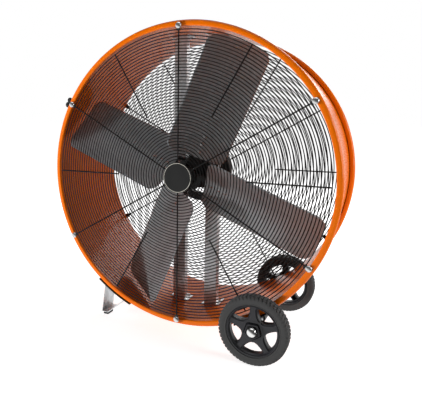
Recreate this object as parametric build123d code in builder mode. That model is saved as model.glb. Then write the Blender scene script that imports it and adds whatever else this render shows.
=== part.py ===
"""A wheeled drum fan with a belt drive, in millimetres.

X runs to the right and Z up, seen from the air outlet side. Y runs along the fan's axis,
from the outlet grille at the front (-Y) to the inlet grille at the back (+Y). The floor is
Z = 0 and the origin lies on it, below the middle of the drum.
"""
from build123d import *
from math import asin, atan2, cos, degrees, hypot, pi, radians, sin, sqrt
import os

os.makedirs("parts", exist_ok=True)

# ---------------------------------------------------------------- driving dimensions
# Clearances
seat_gap = 0.2          # between a curved piece and the curved face that carries it
running_gap = 0.05      # radial, between a shaft and its bearing
turn_gap = 0.4          # between a turning piece and the still piece beside it

# Wheels and axle
wheel_radius = 104.0
wheel_width = 41.0
axle_right = 263.0      # from the fan's axis to the axle, sideways
axle_stand_off = 14.85  # from the axle's saddle to the middle of the axle
axle_radius = 8.0
wheel_stand_off = 16.0  # from the drum's rim to the wheel's inner side

# Drum
drum_radius = 466.0     # inside of the wall
drum_depth = 372.0
sheet = 1.6
rim_height = 19.0       # how far the rolled rim stands out from the inside of the wall
rim_depth = 18.0
rim_bevel = 7.0

# Grilles
long_spokes = 6
long_spoke_start = 30.0
wire = 3.0
outer_ring_gap = 10.0       # from the drum's wall in to the outer ring
inner_ring_radius = 156.0
ring_count = 4
ring_sides = 20
spoke_width = 4.0
long_spoke_inner = 38.0
spoke_overlap = 11.0        # from the drum's wall out to the long spokes' ends
short_spoke_inner = 219.0
disc_radius = 49.0
disc_thickness = 5.0
disc_bevel = 1.4
disc_sides = 24
clip_width = 12.0
clip_length = 25.0
clip_thickness = 2.0

# Struts, two lipped channels from the top of the drum to its bottom
strut_spacing = 118.0
strut_width = 44.0
strut_depth = 26.0
strut_lip = 14.0
strut_sheet = 2.5
strut_front = -37.0
strut_pad_sheet = 3.0
strut_pad_width = 64.0
strut_pad_back = 34.0

# Shaft and bearings
shaft_radius = 10.0
shaft_overhang = 4.0    # past the hub in front and past the pulley behind
bearing_plate_height = 100.0
bearing_plate_sheet = 4.0
bearing_plate_hole = 15.0
bearing_radius = 30.0
bearing_depth = 18.0
bearing_ear_reach = 45.0
bearing_ear_radius = 12.0
bearing_flange = 8.0
bearing_draft = 3.0
bearing_sides = 16

# Blades
blade_count = 4
blade_phase = 67.0
blade_tip_gap = 11.0    # from the drum's wall in to the tips
blade_root = 64.0
blade_width = 172.0     # as seen from the front
blade_curve = 364.0     # radius of the blade's camber
blade_sheet = 2.0
blade_pitch = 32.0
blade_corner = 30.0
blade_plane = -97.0
hub_radius = 30.0
hub_depth = 40.0
hub_plate_radius = 52.0
hub_plate_sheet = 6.0
arm_width = 46.0
arm_sheet = 4.0
arm_reach = 152.0
arm_bevel = 14.0
hub_sides = 12
bore_sides = 12         # of a plain hole that fits a shaft by its flats

# Belt drive
fan_pulley_radius = 105.0
fan_pulley_sides = 30
fan_pulley_rim = 27.0
motor_pulley_radius = 40.0
motor_pulley_sides = 20
pulley_width = 24.0
pulley_plane = 26.0
pulley_spokes = 5
pulley_spoke_width = 14.0
pulley_spoke_depth = 8.0
pulley_spoke_root = 2.0 # how far a spoke's ends run into the rim and past the shaft's face
pulley_hub_radius = 24.0
belt_depth = 8.0
belt_back_width = 13.0
belt_front_width = 9.0
belt_sink = 1.0         # from the pulley's edge down to the belt's back
fan_belt_steps = 20     # straight pieces round the large pulley
motor_belt_steps = 8    # straight pieces round the small pulley

# Motor and its shelf
motor_height = 235.0    # above the fan's axis
motor_radius = 68.0
motor_front = 50.0
motor_length = 115.0
motor_sides = 24
bell_length = 22.0
bell_bevel = 8.0
motor_shaft_radius = 7.0
motor_shaft_reach = 30.0    # how far the shaft runs into the motor
motor_base_width = 120.0
motor_base_sheet = 4.0
motor_base_margin = 8.0
motor_cradle_width = 76.0
motor_cradle_inset = 8.0    # from the motor's bells to its cradles
shelf_height = 150.0    # above the fan's axis
shelf_width = 190.0
shelf_sheet = 3.0
shelf_apron = 42.0
shelf_edge = 20.0
belt_room = 9.0         # from the belt to the edges of the slot it runs through

# Saddles, the curved plates that carry the leg and the axle
saddle_sheet = 4.0
saddle_angle = 17.0
leg_saddle_middle = 240.0

# Legs on the left
leg_sheet = 3.0
leg_width = 75.0
leg_inset = 87.5        # from the drum's faces to the middle of each leg
leg_limb_angle = 231.7  # where the upright limb leaves the saddle
leg_brace_angle = 245.0 # where the slanted limb leaves the saddle
leg_foot_left = -325.0
leg_foot_right = -300.0
leg_tab_angle = 5.4
foot_pad_height = 8.0
foot_pad_width = 20.0
foot_pad_length = 36.0
foot_pad_margin = 2.0

# Axle and its brackets
bracket_width = 40.0
bracket_inset = 71.0    # from the drum's faces to the middle of each axle bracket
bracket_angle = 3.7
bracket_tube_radius = 13.0
bracket_tube_sides = 12
bracket_sheet = 3.0
bracket_ear_width = 34.0
collar_radius = 14.0
collar_length = 9.0
collar_sides = 12
hub_cap_radius = 15.0
hub_cap_depth = 13.0
hub_cap_edge = 5.0
hub_cap_shoulder = 10.4
hub_cap_shoulder_radius = 11.2
hub_cap_top_radius = 5.2
hub_cap_sides = 12

# Wheels and tyres
tyre_depth = 26.0
tyre_shoulder = 6.0
wheel_sides = 32
rim_wall = 9.0
rim_width = 34.0
wheel_spokes = 5
wheel_spoke_root = 38.0     # a spoke's width where its flanks pass the wheel's middle
wheel_spoke_tip = 20.0      # its width in the rim
wheel_spoke_wall = 4.0
wheel_spoke_depth = 24.0
wheel_hub_radius = 24.0

# Handle
handle_angle = 150.2
handle_offset = 160.0
handle_reach = 35.0     # from the outside of the wall to the middle of the grip
grip_half_thickness = 8.0
grip_lobe_spacing = 18.0
handle_lobe_radius = 10.0
handle_sheet = 3.0
handle_foot_length = 30.0
handle_foot_width = 38.0
handle_sides = 10

# Switch box
switch_angle = 128.0
switch_middle = 30.0
switch_box_length = 92.0
switch_box_width = 62.0
switch_box_height = 34.0
switch_box_wall = 3.0
switch_box_floor = 5.0
switch_cover_sheet = 3.0
knob_radius = 15.0
knob_height = 15.0
knob_taper = 2.0
knob_sides = 14
knob_stem_radius = 3.0
knob_stem_length = 12.0
gland_radius = 9.0
gland_length = 20.0
gland_bore = 4.5
gland_stem_radius = 6.5
gland_nut = 7.0
gland_taper = 1.0
gland_sides = 12

# ---------------------------------------------------------------- derived places
front_face = -drum_depth / 2
back_face = drum_depth / 2
leg_offset = back_face - leg_inset
bracket_offset = back_face - bracket_inset
wall_outside = drum_radius + sheet
rim_outside = drum_radius + rim_height
saddle_inside = rim_outside + seat_gap
saddle_outside = saddle_inside + saddle_sheet
axle_drop = sqrt((saddle_outside + axle_stand_off)**2 - axle_right**2)
axle_angle = degrees(atan2(-axle_drop, axle_right))
axis_z = wheel_radius + axle_drop
outer_ring_radius = drum_radius - outer_ring_gap
long_spoke_outer = drum_radius + spoke_overlap
blade_tip_radius = drum_radius - blade_tip_gap
pad_outside = drum_radius - seat_gap
pad_inside = pad_outside - strut_pad_sheet
strut_back = strut_front + strut_depth
front_plate_front = strut_front - bearing_plate_sheet
rear_plate_back = strut_back + bearing_plate_sheet
hub_front = blade_plane - hub_depth / 2
hub_back = blade_plane + hub_depth / 2
shaft_front = hub_front - shaft_overhang
shaft_back = pulley_plane + pulley_width / 2 + shaft_overhang
belt_outer_fan = fan_pulley_radius - belt_sink
belt_outer_motor = motor_pulley_radius - belt_sink
belt_slope = asin((fan_pulley_radius - motor_pulley_radius) / motor_height)
motor_back = motor_front + motor_length
motor_z = axis_z + motor_height
shelf_top = axis_z + shelf_height + shelf_sheet
wheel_inner_side = back_face + wheel_stand_off
wheel_outer_side = wheel_inner_side + wheel_width
cap_inner_side = wheel_outer_side + turn_gap
rim_inside = wheel_radius - tyre_depth - rim_wall
tyre_seat = wheel_radius - tyre_depth
foot_line = foot_pad_height + leg_sheet / 2 - axis_z
fan_axis = Axis((0, 0, axis_z), (0, 1, 0))


# ---------------------------------------------------------------- shared helpers
def save(piece, name):
    """Label one finished piece and write its file."""
    piece.label = name
    export_step(piece, f"parts/{name}.step")


def front_view(y, x=0.0, z=axis_z):
    """A plane square to the fan's axis, seen from the front: its own x and y are X and Z."""
    return Plane(origin=(x, y, z), x_dir=(1, 0, 0), z_dir=(0, -1, 0))


def spoke_view(angle, y):
    """The front view turned about the fan's axis, so that its own x points along a radius."""
    out = (cos(radians(angle)), 0, sin(radians(angle)))
    return Plane(origin=(0, y, axis_z), x_dir=out, z_dir=(0, -1, 0))


def half_section(x=0.0, z=axis_z):
    """A plane through a Y axis for revolves: its own x is the radius and its y is Y."""
    return Plane(origin=(x, 0, z), x_dir=(1, 0, 0), z_dir=(0, 0, 1))


def wall_view(angle, radius, y=0.0):
    """A plane that touches a cylinder about the fan's axis: own x along Y, normal outwards."""
    out = Vector(cos(radians(angle)), 0, sin(radians(angle)))
    return Plane(origin=Vector(0, y, axis_z) + out * radius, x_dir=(0, 1, 0), z_dir=out)


def back_view(y, x=0.0, z=axis_z):
    """A plane square to the fan's axis that faces the back."""
    return Plane(origin=(x, y, z), x_dir=(1, 0, 0), z_dir=(0, 1, 0))


def polar(radius, angle):
    """The front view's x and y of a point given by radius and angle."""
    return (radius * cos(radians(angle)), radius * sin(radians(angle)))


def sector(inner, outer, middle, spread):
    """Sketch a piece of a ring about the fan's axis, in the front view."""
    start = middle - spread / 2
    end = middle + spread / 2
    with BuildLine() as outline:
        CenterArc((0, 0), outer, start, spread)
        CenterArc((0, 0), inner, start, spread)
        Line(polar(inner, start), polar(outer, start))
        Line(polar(inner, end), polar(outer, end))
    make_face(outline.edges())


def turned(place, sides, stations):
    """A many-sided solid through stations, each a depth from the plane and a radius."""
    turns = [2 * pi * side / sides for side in range(sides)]
    rings = [
        [place.from_local_coords((radius * cos(turn), radius * sin(turn), depth)) for turn in turns]
        for depth, radius in stations
    ]
    faces = [Face(Wire.make_polygon(rings[0])), Face(Wire.make_polygon(rings[-1]))]
    for near, far in zip(rings, rings[1:]):
        for side in range(sides):
            corners = [near[side - 1], near[side], far[side], far[side - 1]]
            faces.append(Face(Wire.make_polygon(corners)))
    add(Solid(Shell(faces)))


def flat_bore(place, radius, depth):
    """Cut a many-sided hole whose flats stand at a radius, from a plane along its normal."""
    with BuildSketch(place) as outline:
        RegularPolygon(radius, bore_sides, major_radius=False)
    extrude(to_extrude=outline.sketch, amount=depth, mode=Mode.SUBTRACT)


# ---------------------------------------------------------------- drum
def make_drum():
    """One folded sheet: a straight wall that turns outwards at each mouth into a rim."""
    with BuildPart() as drum:
        with BuildSketch(half_section()):
            with BuildLine():
                Polyline(
                    (rim_outside, front_face + rim_depth),
                    (rim_outside, front_face + rim_bevel),
                    (rim_outside - rim_bevel, front_face),
                    (drum_radius, front_face),
                    (drum_radius, back_face),
                    (rim_outside - rim_bevel, back_face),
                    (rim_outside, back_face - rim_bevel),
                    (rim_outside, back_face - rim_depth),
                )
                offset(amount=sheet, side=Side.RIGHT)
            make_face()
        revolve(axis=fan_axis)
    save(drum.part, "drum_shell")


# ---------------------------------------------------------------- grilles
def make_rings(front, name):
    """The rings of one grille, which lie just inside the drum's mouth."""
    ring_step = (outer_ring_radius - inner_ring_radius) / (ring_count - 1)
    with BuildPart() as rings:
        with BuildSketch(front_view(front)):
            for number in range(ring_count):
                radius = outer_ring_radius - number * ring_step
                RegularPolygon(radius + wire / 2, ring_sides)
                RegularPolygon(radius - wire / 2, ring_sides, mode=Mode.SUBTRACT)
        extrude(amount=-wire)
    save(rings.part, name)


def make_spokes(front, name):
    """The spokes of one grille: long ones out to the rim and short ones between them."""
    step = 360 / long_spokes
    long_length = long_spoke_outer - long_spoke_inner
    short_length = outer_ring_radius - short_spoke_inner
    with BuildPart() as spokes:
        with BuildSketch(front_view(front)):
            long_middle = long_spoke_inner + long_length / 2
            with PolarLocations(long_middle, long_spokes, long_spoke_start):
                Rectangle(long_length, spoke_width)
            short_middle = short_spoke_inner + short_length / 2
            with PolarLocations(short_middle, long_spokes, long_spoke_start + step / 2):
                Rectangle(short_length, spoke_width)
        extrude(amount=-wire)
    save(spokes.part, name)


def make_disc(place, name):
    """The bare round plate at the middle of a grille."""
    with BuildPart() as disc:
        turned(place, disc_sides, [
            (0, disc_radius),
            (disc_thickness - disc_bevel, disc_radius),
            (disc_thickness, disc_radius - disc_bevel),
        ])
    save(disc.part, name)


def make_clips():
    """Plates over the long spokes' ends, on both grilles."""
    with BuildPart() as clips:
        for clip_front in (front_face - wire - clip_thickness, back_face + wire):
            with BuildSketch(front_view(clip_front)):
                with PolarLocations(long_spoke_outer - clip_length / 2, long_spokes, long_spoke_start):
                    Rectangle(clip_length, clip_width)
            extrude(amount=-clip_thickness)
    save(clips.part, "grille_clips")


# ---------------------------------------------------------------- struts, plates and bearings
def make_strut(side, name):
    """A lipped channel, open to the back, with a curved pad on the wall at each end."""
    x = side * strut_spacing / 2
    inner_width = strut_width - 2 * strut_sheet
    with BuildPart() as strut:
        with BuildSketch(Plane.XY.offset(axis_z - drum_radius)):
            with Locations((x, strut_front + strut_depth / 2)):
                Rectangle(strut_width, strut_depth)
                Rectangle(inner_width, strut_depth - 2 * strut_sheet, mode=Mode.SUBTRACT)
            with Locations((x, strut_back - strut_sheet / 2)):
                Rectangle(strut_width - 2 * strut_lip, strut_sheet, mode=Mode.SUBTRACT)
        extrude(amount=2 * drum_radius)
        with BuildSketch(front_view(strut_front)):
            Circle(pad_outside - strut_pad_sheet / 2)
        extrude(amount=-strut_depth, mode=Mode.INTERSECT)
        with BuildSketch(front_view(strut_front)):
            Circle(pad_outside)
            Circle(pad_inside, mode=Mode.SUBTRACT)
            with Locations((x, 0)):
                Rectangle(strut_pad_width, 2 * drum_radius, mode=Mode.INTERSECT)
        extrude(amount=-strut_depth - strut_pad_back)
    save(strut.part, name)


def make_bearing_plate(front, name):
    """A flat plate across both struts, with a hole for the shaft."""
    with BuildPart() as plate:
        with BuildSketch(front_view(front)):
            Rectangle(strut_spacing + strut_width, bearing_plate_height)
            RegularPolygon(bearing_plate_hole, hub_sides, mode=Mode.SUBTRACT)
        extrude(amount=-bearing_plate_sheet)
    save(plate.part, name)


def make_bearing(place, name):
    """A flanged bearing: an oval flange with two ears and a tapered housing."""
    with BuildPart() as bearing:
        with BuildSketch(place):
            RegularPolygon(bearing_radius, bearing_sides)
            with Locations((0, -bearing_ear_reach), (0, bearing_ear_reach)):
                RegularPolygon(bearing_ear_radius, bearing_sides // 2)
            make_hull()
        extrude(amount=bearing_flange)
        turned(place, bearing_sides, [
            (bearing_flange, bearing_radius),
            (bearing_depth, bearing_radius - bearing_draft),
        ])
        flat_bore(place, shaft_radius + running_gap, bearing_depth)
    save(bearing.part, name)


# ---------------------------------------------------------------- rotor
def blade_normal(angle):
    """The direction square to a blade's middle, towards the front."""
    pitch = radians(blade_pitch)
    around = Vector(-sin(radians(angle)), 0, cos(radians(angle)))
    return around * -sin(pitch) + Vector(0, -1, 0) * cos(pitch)


def arm_seat(angle):
    """The plane that an arm shares with the back of its blade; its own x runs outwards."""
    out = Vector(cos(radians(angle)), 0, sin(radians(angle)))
    return Plane(origin=Vector(0, blade_plane, axis_z), x_dir=out, z_dir=blade_normal(angle))


def make_blade(angle, name):
    """A cambered, pitched paddle cut to its outline with rounded corners."""
    out = Vector(cos(radians(angle)), 0, sin(radians(angle)))
    around = (-sin(radians(angle)), 0, cos(radians(angle)))
    section = Plane(origin=Vector(0, blade_plane, axis_z) + out * blade_root, x_dir=around, z_dir=out)
    pitch = radians(blade_pitch)
    reach = blade_width / 2 / cos(pitch) + blade_corner
    rise = blade_curve - sqrt(blade_curve**2 - reach**2)
    along = Vector(cos(pitch), sin(pitch))
    normal = Vector(-sin(pitch), cos(pitch))
    lead = along * -reach + normal * rise
    trail = along * reach + normal * rise
    skin = normal * blade_sheet
    with BuildPart() as blade:
        with BuildSketch(section):
            with BuildLine():
                ThreePointArc(lead, (0, 0), trail)
                Line(trail, trail + skin)
                ThreePointArc(trail + skin, skin, lead + skin)
                Line(lead + skin, lead)
            make_face()
        extrude(amount=blade_tip_radius - blade_root)
        with BuildSketch(spoke_view(angle, blade_plane)):
            Circle(blade_tip_radius)
            with Locations(((blade_root + blade_tip_radius) / 2 + blade_corner, 0)):
                Rectangle(blade_tip_radius - blade_root + 2 * blade_corner, blade_width, mode=Mode.INTERSECT)
            fillet(vertices(), radius=blade_corner)
        extrude(amount=blade_width, both=True, mode=Mode.INTERSECT)
    save(blade.part, name)


def make_hub():
    """A boss and plate on the shaft with one pitched arm behind each blade."""
    with BuildPart() as hub:
        turned(front_view(hub_back), hub_sides, [(0, hub_radius), (hub_depth, hub_radius)])
        plate_back = blade_plane + hub_plate_sheet / 2
        outline = [(0, hub_plate_radius), (hub_plate_sheet, hub_plate_radius)]
        turned(front_view(plate_back), hub_sides, outline)
        for number in range(blade_count):
            angle = blade_phase + 360 / blade_count * number
            with BuildSketch(arm_seat(angle)):
                with Locations((arm_reach / 2, 0)):
                    Rectangle(arm_reach, arm_width)
                chamfer(vertices().group_by(Axis.X)[-1], length=arm_bevel)
            extrude(amount=-arm_sheet)
        flat_bore(front_view(hub_back), shaft_radius, hub_depth)
    save(hub.part, "blade_hub")


def make_fan_shaft():
    """The shaft that carries the blades in front of the struts and the pulley behind them."""
    with BuildPart() as shaft:
        with BuildSketch(front_view(shaft_front)):
            Circle(shaft_radius)
        extrude(amount=shaft_front - shaft_back)
    save(shaft.part, "fan_shaft")


# ---------------------------------------------------------------- belt drive
def belt_half_width(depth):
    """Half the belt's width at a depth below its back."""
    return (belt_back_width - (belt_back_width - belt_front_width) * depth / belt_depth) / 2


def pulley_stations(radius):
    """A grooved rim as depths from the pulley's back and radii."""
    floor = radius - belt_sink - belt_depth - turn_gap
    top = belt_half_width(-belt_sink) + turn_gap
    bottom = belt_half_width(belt_depth + turn_gap) + turn_gap
    middle = pulley_width / 2
    return [
        (0, radius),
        (middle - top, radius),
        (middle - bottom, floor),
        (middle + bottom, floor),
        (middle + top, radius),
        (pulley_width, radius),
    ]


def make_fan_pulley():
    """The large spoked pulley behind the struts."""
    back = pulley_plane + pulley_width / 2
    rim_bore = fan_pulley_radius - fan_pulley_rim
    spoke_length = rim_bore - shaft_radius
    with BuildPart() as pulley:
        turned(front_view(back), fan_pulley_sides, pulley_stations(fan_pulley_radius))
        with BuildSketch(front_view(back)):
            RegularPolygon(rim_bore, fan_pulley_sides)
        extrude(amount=pulley_width, mode=Mode.SUBTRACT)
        turned(front_view(back), hub_sides, [(0, pulley_hub_radius), (pulley_width, pulley_hub_radius)])
        with BuildSketch(front_view(pulley_plane + pulley_spoke_depth / 2)):
            with PolarLocations(shaft_radius + spoke_length / 2, pulley_spokes):
                Rectangle(spoke_length + pulley_spoke_root, pulley_spoke_width)
        extrude(amount=pulley_spoke_depth)
        flat_bore(front_view(back), shaft_radius, pulley_width)
    save(pulley.part, "fan_pulley")


def make_motor_pulley():
    """The small pulley on the motor's shaft."""
    back = front_view(pulley_plane + pulley_width / 2, z=motor_z)
    with BuildPart() as pulley:
        turned(back, motor_pulley_sides, pulley_stations(motor_pulley_radius))
        flat_bore(back, motor_shaft_radius, pulley_width)
    save(pulley.part, "motor_pulley")


def belt_stations(radius, height, start, end, steps):
    """Corners of the belt's section at each bend round one pulley.

    The bends lie on the tangents of the true arc, so the belt never cuts into the pulley.
    """
    step = (end - start) / steps
    stations = []
    for number in range(steps):
        turn = start + (number + 0.5) * step
        corners = []
        for depth, side in ((0, -1), (0, 1), (belt_depth, 1), (belt_depth, -1)):
            reach = (radius - depth) / cos(step / 2)
            y = pulley_plane + side * belt_half_width(depth)
            corners.append(Vector(reach * cos(turn), y, axis_z + height + reach * sin(turn)))
        stations.append(corners)
    return stations


def make_belt():
    """A V belt round both pulleys: a closed loop of straight pieces."""
    upper = belt_stations(belt_outer_motor, motor_height, belt_slope, pi - belt_slope, motor_belt_steps)
    lower = belt_stations(belt_outer_fan, 0, pi - belt_slope, 2 * pi + belt_slope, fan_belt_steps)
    stations = upper + lower
    faces = []
    for number, near in enumerate(stations):
        far = stations[number - 1]
        for side in range(4):
            faces.append(Face(Wire.make_polygon([near[side - 1], near[side], far[side], far[side - 1]])))
    with BuildPart() as belt:
        add(Solid(Shell(faces)))
    save(belt.part, "v_belt")


# ---------------------------------------------------------------- motor
def make_motor():
    """The motor's closed body, its two end bells and its shaft."""
    rear_seat = motor_back - bell_length
    front_seat = motor_front + bell_length
    body_length = rear_seat - front_seat
    with BuildPart() as shell:
        outline = [(0, motor_radius), (body_length, motor_radius)]
        turned(front_view(rear_seat, z=motor_z), motor_sides, outline)
    save(shell.part, "motor_shell")
    bell = [
        (0, motor_radius),
        (bell_length - bell_bevel, motor_radius),
        (bell_length, motor_radius - bell_bevel),
    ]
    with BuildPart() as front_bell:
        turned(front_view(front_seat, z=motor_z), motor_sides, bell)
        flat_bore(front_view(front_seat, z=motor_z), motor_shaft_radius + running_gap, bell_length)
    save(front_bell.part, "motor_front_bell")
    with BuildPart() as rear_bell:
        turned(back_view(rear_seat, z=motor_z), motor_sides, bell)
    save(rear_bell.part, "motor_rear_bell")
    shaft_tip = pulley_plane - pulley_width / 2 - shaft_overhang
    with BuildPart() as shaft:
        with BuildSketch(front_view(shaft_tip, z=motor_z)):
            Circle(motor_shaft_radius)
        extrude(amount=shaft_tip - front_seat + turn_gap)
    save(shaft.part, "motor_shaft")


def make_shelf():
    """The folded shelf behind the struts, slotted for the belt, that carries the motor."""
    low_edge = shelf_height - shelf_apron
    belt_out = (fan_pulley_radius - shelf_height * sin(belt_slope)) / cos(belt_slope)
    depth = motor_back - strut_back
    with BuildPart() as shelf:
        with BuildSketch(Plane.XY.offset(axis_z + shelf_height)):
            with Locations((0, strut_back + depth / 2)):
                Rectangle(shelf_width, depth)
            with Locations((0, pulley_plane)):
                Rectangle(2 * (belt_out + belt_room), pulley_width + 2 * belt_room, mode=Mode.SUBTRACT)
        extrude(amount=shelf_sheet)
        with BuildSketch(front_view(strut_back)):
            with Locations((0, low_edge + (shelf_apron + shelf_sheet) / 2)):
                Rectangle(shelf_width, shelf_apron + shelf_sheet)
        extrude(amount=-shelf_sheet)
        for side in (-1, 1):
            with BuildSketch(Plane.XY.offset(axis_z + shelf_height)):
                with Locations((side * (shelf_width - shelf_sheet) / 2, strut_back + depth / 2)):
                    Rectangle(shelf_sheet, depth)
            extrude(amount=shelf_edge)
    save(shelf.part, "motor_shelf")


def make_motor_base():
    """A plate on the shelf with two cradles under the motor's body."""
    base_top = shelf_top + motor_base_sheet
    base_length = motor_length - 2 * motor_base_margin
    cradle_height = motor_z - base_top
    first_cradle = motor_front + bell_length + motor_cradle_inset
    last_cradle = motor_back - bell_length - motor_cradle_inset - motor_base_sheet
    with BuildPart() as base:
        with BuildSketch(Plane.XY.offset(shelf_top)):
            with Locations((0, motor_front + motor_length / 2)):
                Rectangle(motor_base_width, base_length)
        extrude(amount=motor_base_sheet)
        for y in (first_cradle, last_cradle):
            with BuildSketch(front_view(y, z=motor_z)):
                with Locations((0, -cradle_height / 2)):
                    Rectangle(motor_cradle_width, cradle_height)
                RegularPolygon(motor_radius, motor_sides, mode=Mode.SUBTRACT)
            extrude(amount=-motor_base_sheet)
    save(base.part, "motor_base")


# ---------------------------------------------------------------- leg, axle and saddles
def make_saddle(middle, name):
    """A curved plate that lies on both rims of the drum."""
    with BuildPart() as saddle:
        with BuildSketch(front_view(front_face)):
            sector(saddle_inside, saddle_outside, middle, saddle_angle)
        extrude(amount=-drum_depth)
    save(saddle.part, name)


def make_leg(middle, name):
    """One folded strap: a tab on the saddle, an upright limb, a foot, a brace and a tab."""
    tab_line = saddle_outside + leg_sheet / 2
    tab_outside = saddle_outside + leg_sheet
    with BuildPart() as leg:
        with BuildSketch(front_view(middle - leg_width / 2)):
            with BuildLine():
                Polyline(
                    polar(tab_line, leg_limb_angle),
                    (leg_foot_left, foot_line),
                    (leg_foot_right, foot_line),
                    polar(tab_line, leg_brace_angle),
                )
            trace(line_width=leg_sheet)
            Circle(saddle_outside, mode=Mode.SUBTRACT)
            sector(saddle_outside, tab_outside, leg_limb_angle + leg_tab_angle / 2, leg_tab_angle)
            sector(saddle_outside, tab_outside, leg_brace_angle - leg_tab_angle / 2, leg_tab_angle)
        extrude(amount=-leg_width)
    save(leg.part, name)


def make_feet():
    """A rubber pad under each leg, at the brace's end of its foot and near its outer edge."""
    pad_middle = leg_offset + leg_width / 2 - foot_pad_margin - foot_pad_length / 2
    with BuildPart() as feet:
        with BuildSketch(Plane.XY):
            for middle in (-pad_middle, pad_middle):
                with Locations((leg_foot_right - foot_pad_width / 2, middle)):
                    Rectangle(foot_pad_width, foot_pad_length)
        extrude(amount=foot_pad_height)
    save(feet.part, "leg_feet")


def make_axle_bracket(middle, name):
    """A curved foot on the saddle with two ears that hold a tube for the axle."""
    front = middle - bracket_width / 2
    axle_place = (axle_right, -axle_drop)
    with BuildPart() as bracket:
        with BuildSketch(front_view(front)):
            sector(saddle_outside, saddle_outside + bracket_sheet, axle_angle, 2 * bracket_angle)
        extrude(amount=-bracket_width)
        for ear_front in (front, front + bracket_width - bracket_sheet):
            with BuildSketch(spoke_view(axle_angle, ear_front)):
                with Locations((hypot(*axle_place), 0)):
                    RegularPolygon(bracket_tube_radius, bracket_tube_sides)
                with Locations((saddle_outside + bracket_sheet / 2, 0)):
                    Rectangle(bracket_sheet, bracket_ear_width)
                make_hull()
                Circle(saddle_outside + bracket_sheet / 2, mode=Mode.SUBTRACT)
            extrude(amount=-bracket_sheet)
        with BuildSketch(spoke_view(axle_angle, front)):
            with Locations((hypot(*axle_place), 0)):
                RegularPolygon(bracket_tube_radius, bracket_tube_sides)
        extrude(amount=-bracket_width)
        tube_back = front_view(front + bracket_width, axle_right, axis_z - axle_drop)
        flat_bore(tube_back, axle_radius + running_gap, bracket_width)
    save(bracket.part, name)


def make_axle():
    """The axle with a collar inside each wheel, and the caps on its ends."""
    place = (axle_right, axis_z - axle_drop)
    collar_out = wheel_inner_side - turn_gap
    with BuildPart() as axle:
        with BuildSketch(front_view(-cap_inner_side, *place)):
            Circle(axle_radius)
        extrude(amount=-2 * cap_inner_side)
        for back in (collar_length - collar_out, collar_out):
            collar = [(0, collar_radius), (collar_length, collar_radius)]
            turned(front_view(back, *place), collar_sides, collar)
    save(axle.part, "axle")
    cap = [
        (0, hub_cap_radius),
        (hub_cap_edge, hub_cap_radius),
        (hub_cap_shoulder, hub_cap_shoulder_radius),
        (hub_cap_depth, hub_cap_top_radius),
    ]
    with BuildPart() as caps:
        turned(front_view(-cap_inner_side, *place), hub_cap_sides, cap)
        turned(back_view(cap_inner_side, *place), hub_cap_sides, cap)
    save(caps.part, "hub_caps")


# ---------------------------------------------------------------- wheels
def wheel_spoke(start, end, inset):
    """Sketch one spoke along x between two radii: it narrows evenly from the middle to the rim."""
    full_reach = rim_inside + rim_wall / 2
    taper = (wheel_spoke_root - wheel_spoke_tip) / 2 / full_reach
    near = wheel_spoke_root / 2 - inset - taper * start
    far = wheel_spoke_root / 2 - inset - taper * end
    Polygon((start, -near), (end, -far), (end, far), (start, near), align=None)


def make_wheel(out, name):
    """A moulded wheel: a rim, five spokes hollow at the back and a five-sided boss."""
    place = (axle_right, axis_z - axle_drop)
    middle = out * (wheel_inner_side + wheel_width / 2)
    outer_side = out * wheel_outer_side
    spoke_face = middle + out * wheel_spoke_depth / 2
    spoke_back = middle - out * wheel_spoke_depth / 2
    hollow_depth = wheel_spoke_depth - wheel_spoke_wall
    with BuildPart() as wheel:
        with BuildSketch(front_view(middle, *place)):
            RegularPolygon(tyre_seat, wheel_sides)
            RegularPolygon(rim_inside, wheel_sides, mode=Mode.SUBTRACT)
        extrude(amount=rim_width / 2, both=True)
        with BuildSketch(front_view(spoke_face, *place)):
            with PolarLocations(0, wheel_spokes, start_angle=90):
                wheel_spoke(0, rim_inside + rim_wall / 2, 0)
        extrude(amount=out * wheel_spoke_depth)
        with BuildSketch(front_view(spoke_back, *place)):
            with PolarLocations(0, wheel_spokes, start_angle=90):
                wheel_spoke(wheel_hub_radius + wheel_spoke_wall, rim_inside, wheel_spoke_wall)
        extrude(amount=-out * hollow_depth, mode=Mode.SUBTRACT)
        with BuildSketch(front_view(middle, *place)):
            RegularPolygon(wheel_hub_radius, wheel_spokes, rotation=90)
        extrude(amount=wheel_width / 2, both=True)
        flat_bore(front_view(outer_side, *place), axle_radius + running_gap, out * wheel_width)
    save(wheel.part, name)


def make_tyre(out, name):
    """A solid rubber tyre on the rim, with bevelled shoulders."""
    place = (axle_right, axis_z - axle_drop)
    near = min(out * wheel_inner_side, out * wheel_outer_side)
    with BuildPart() as tyre:
        turned(front_view(near + wheel_width, *place), wheel_sides, [
            (0, wheel_radius - tyre_shoulder),
            (tyre_shoulder, wheel_radius),
            (wheel_width - tyre_shoulder, wheel_radius),
            (wheel_width, wheel_radius - tyre_shoulder),
        ])
        with BuildSketch(front_view(near, *place)):
            RegularPolygon(tyre_seat, wheel_sides)
        extrude(amount=-wheel_width, mode=Mode.SUBTRACT)
    save(tyre.part, name)


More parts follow.
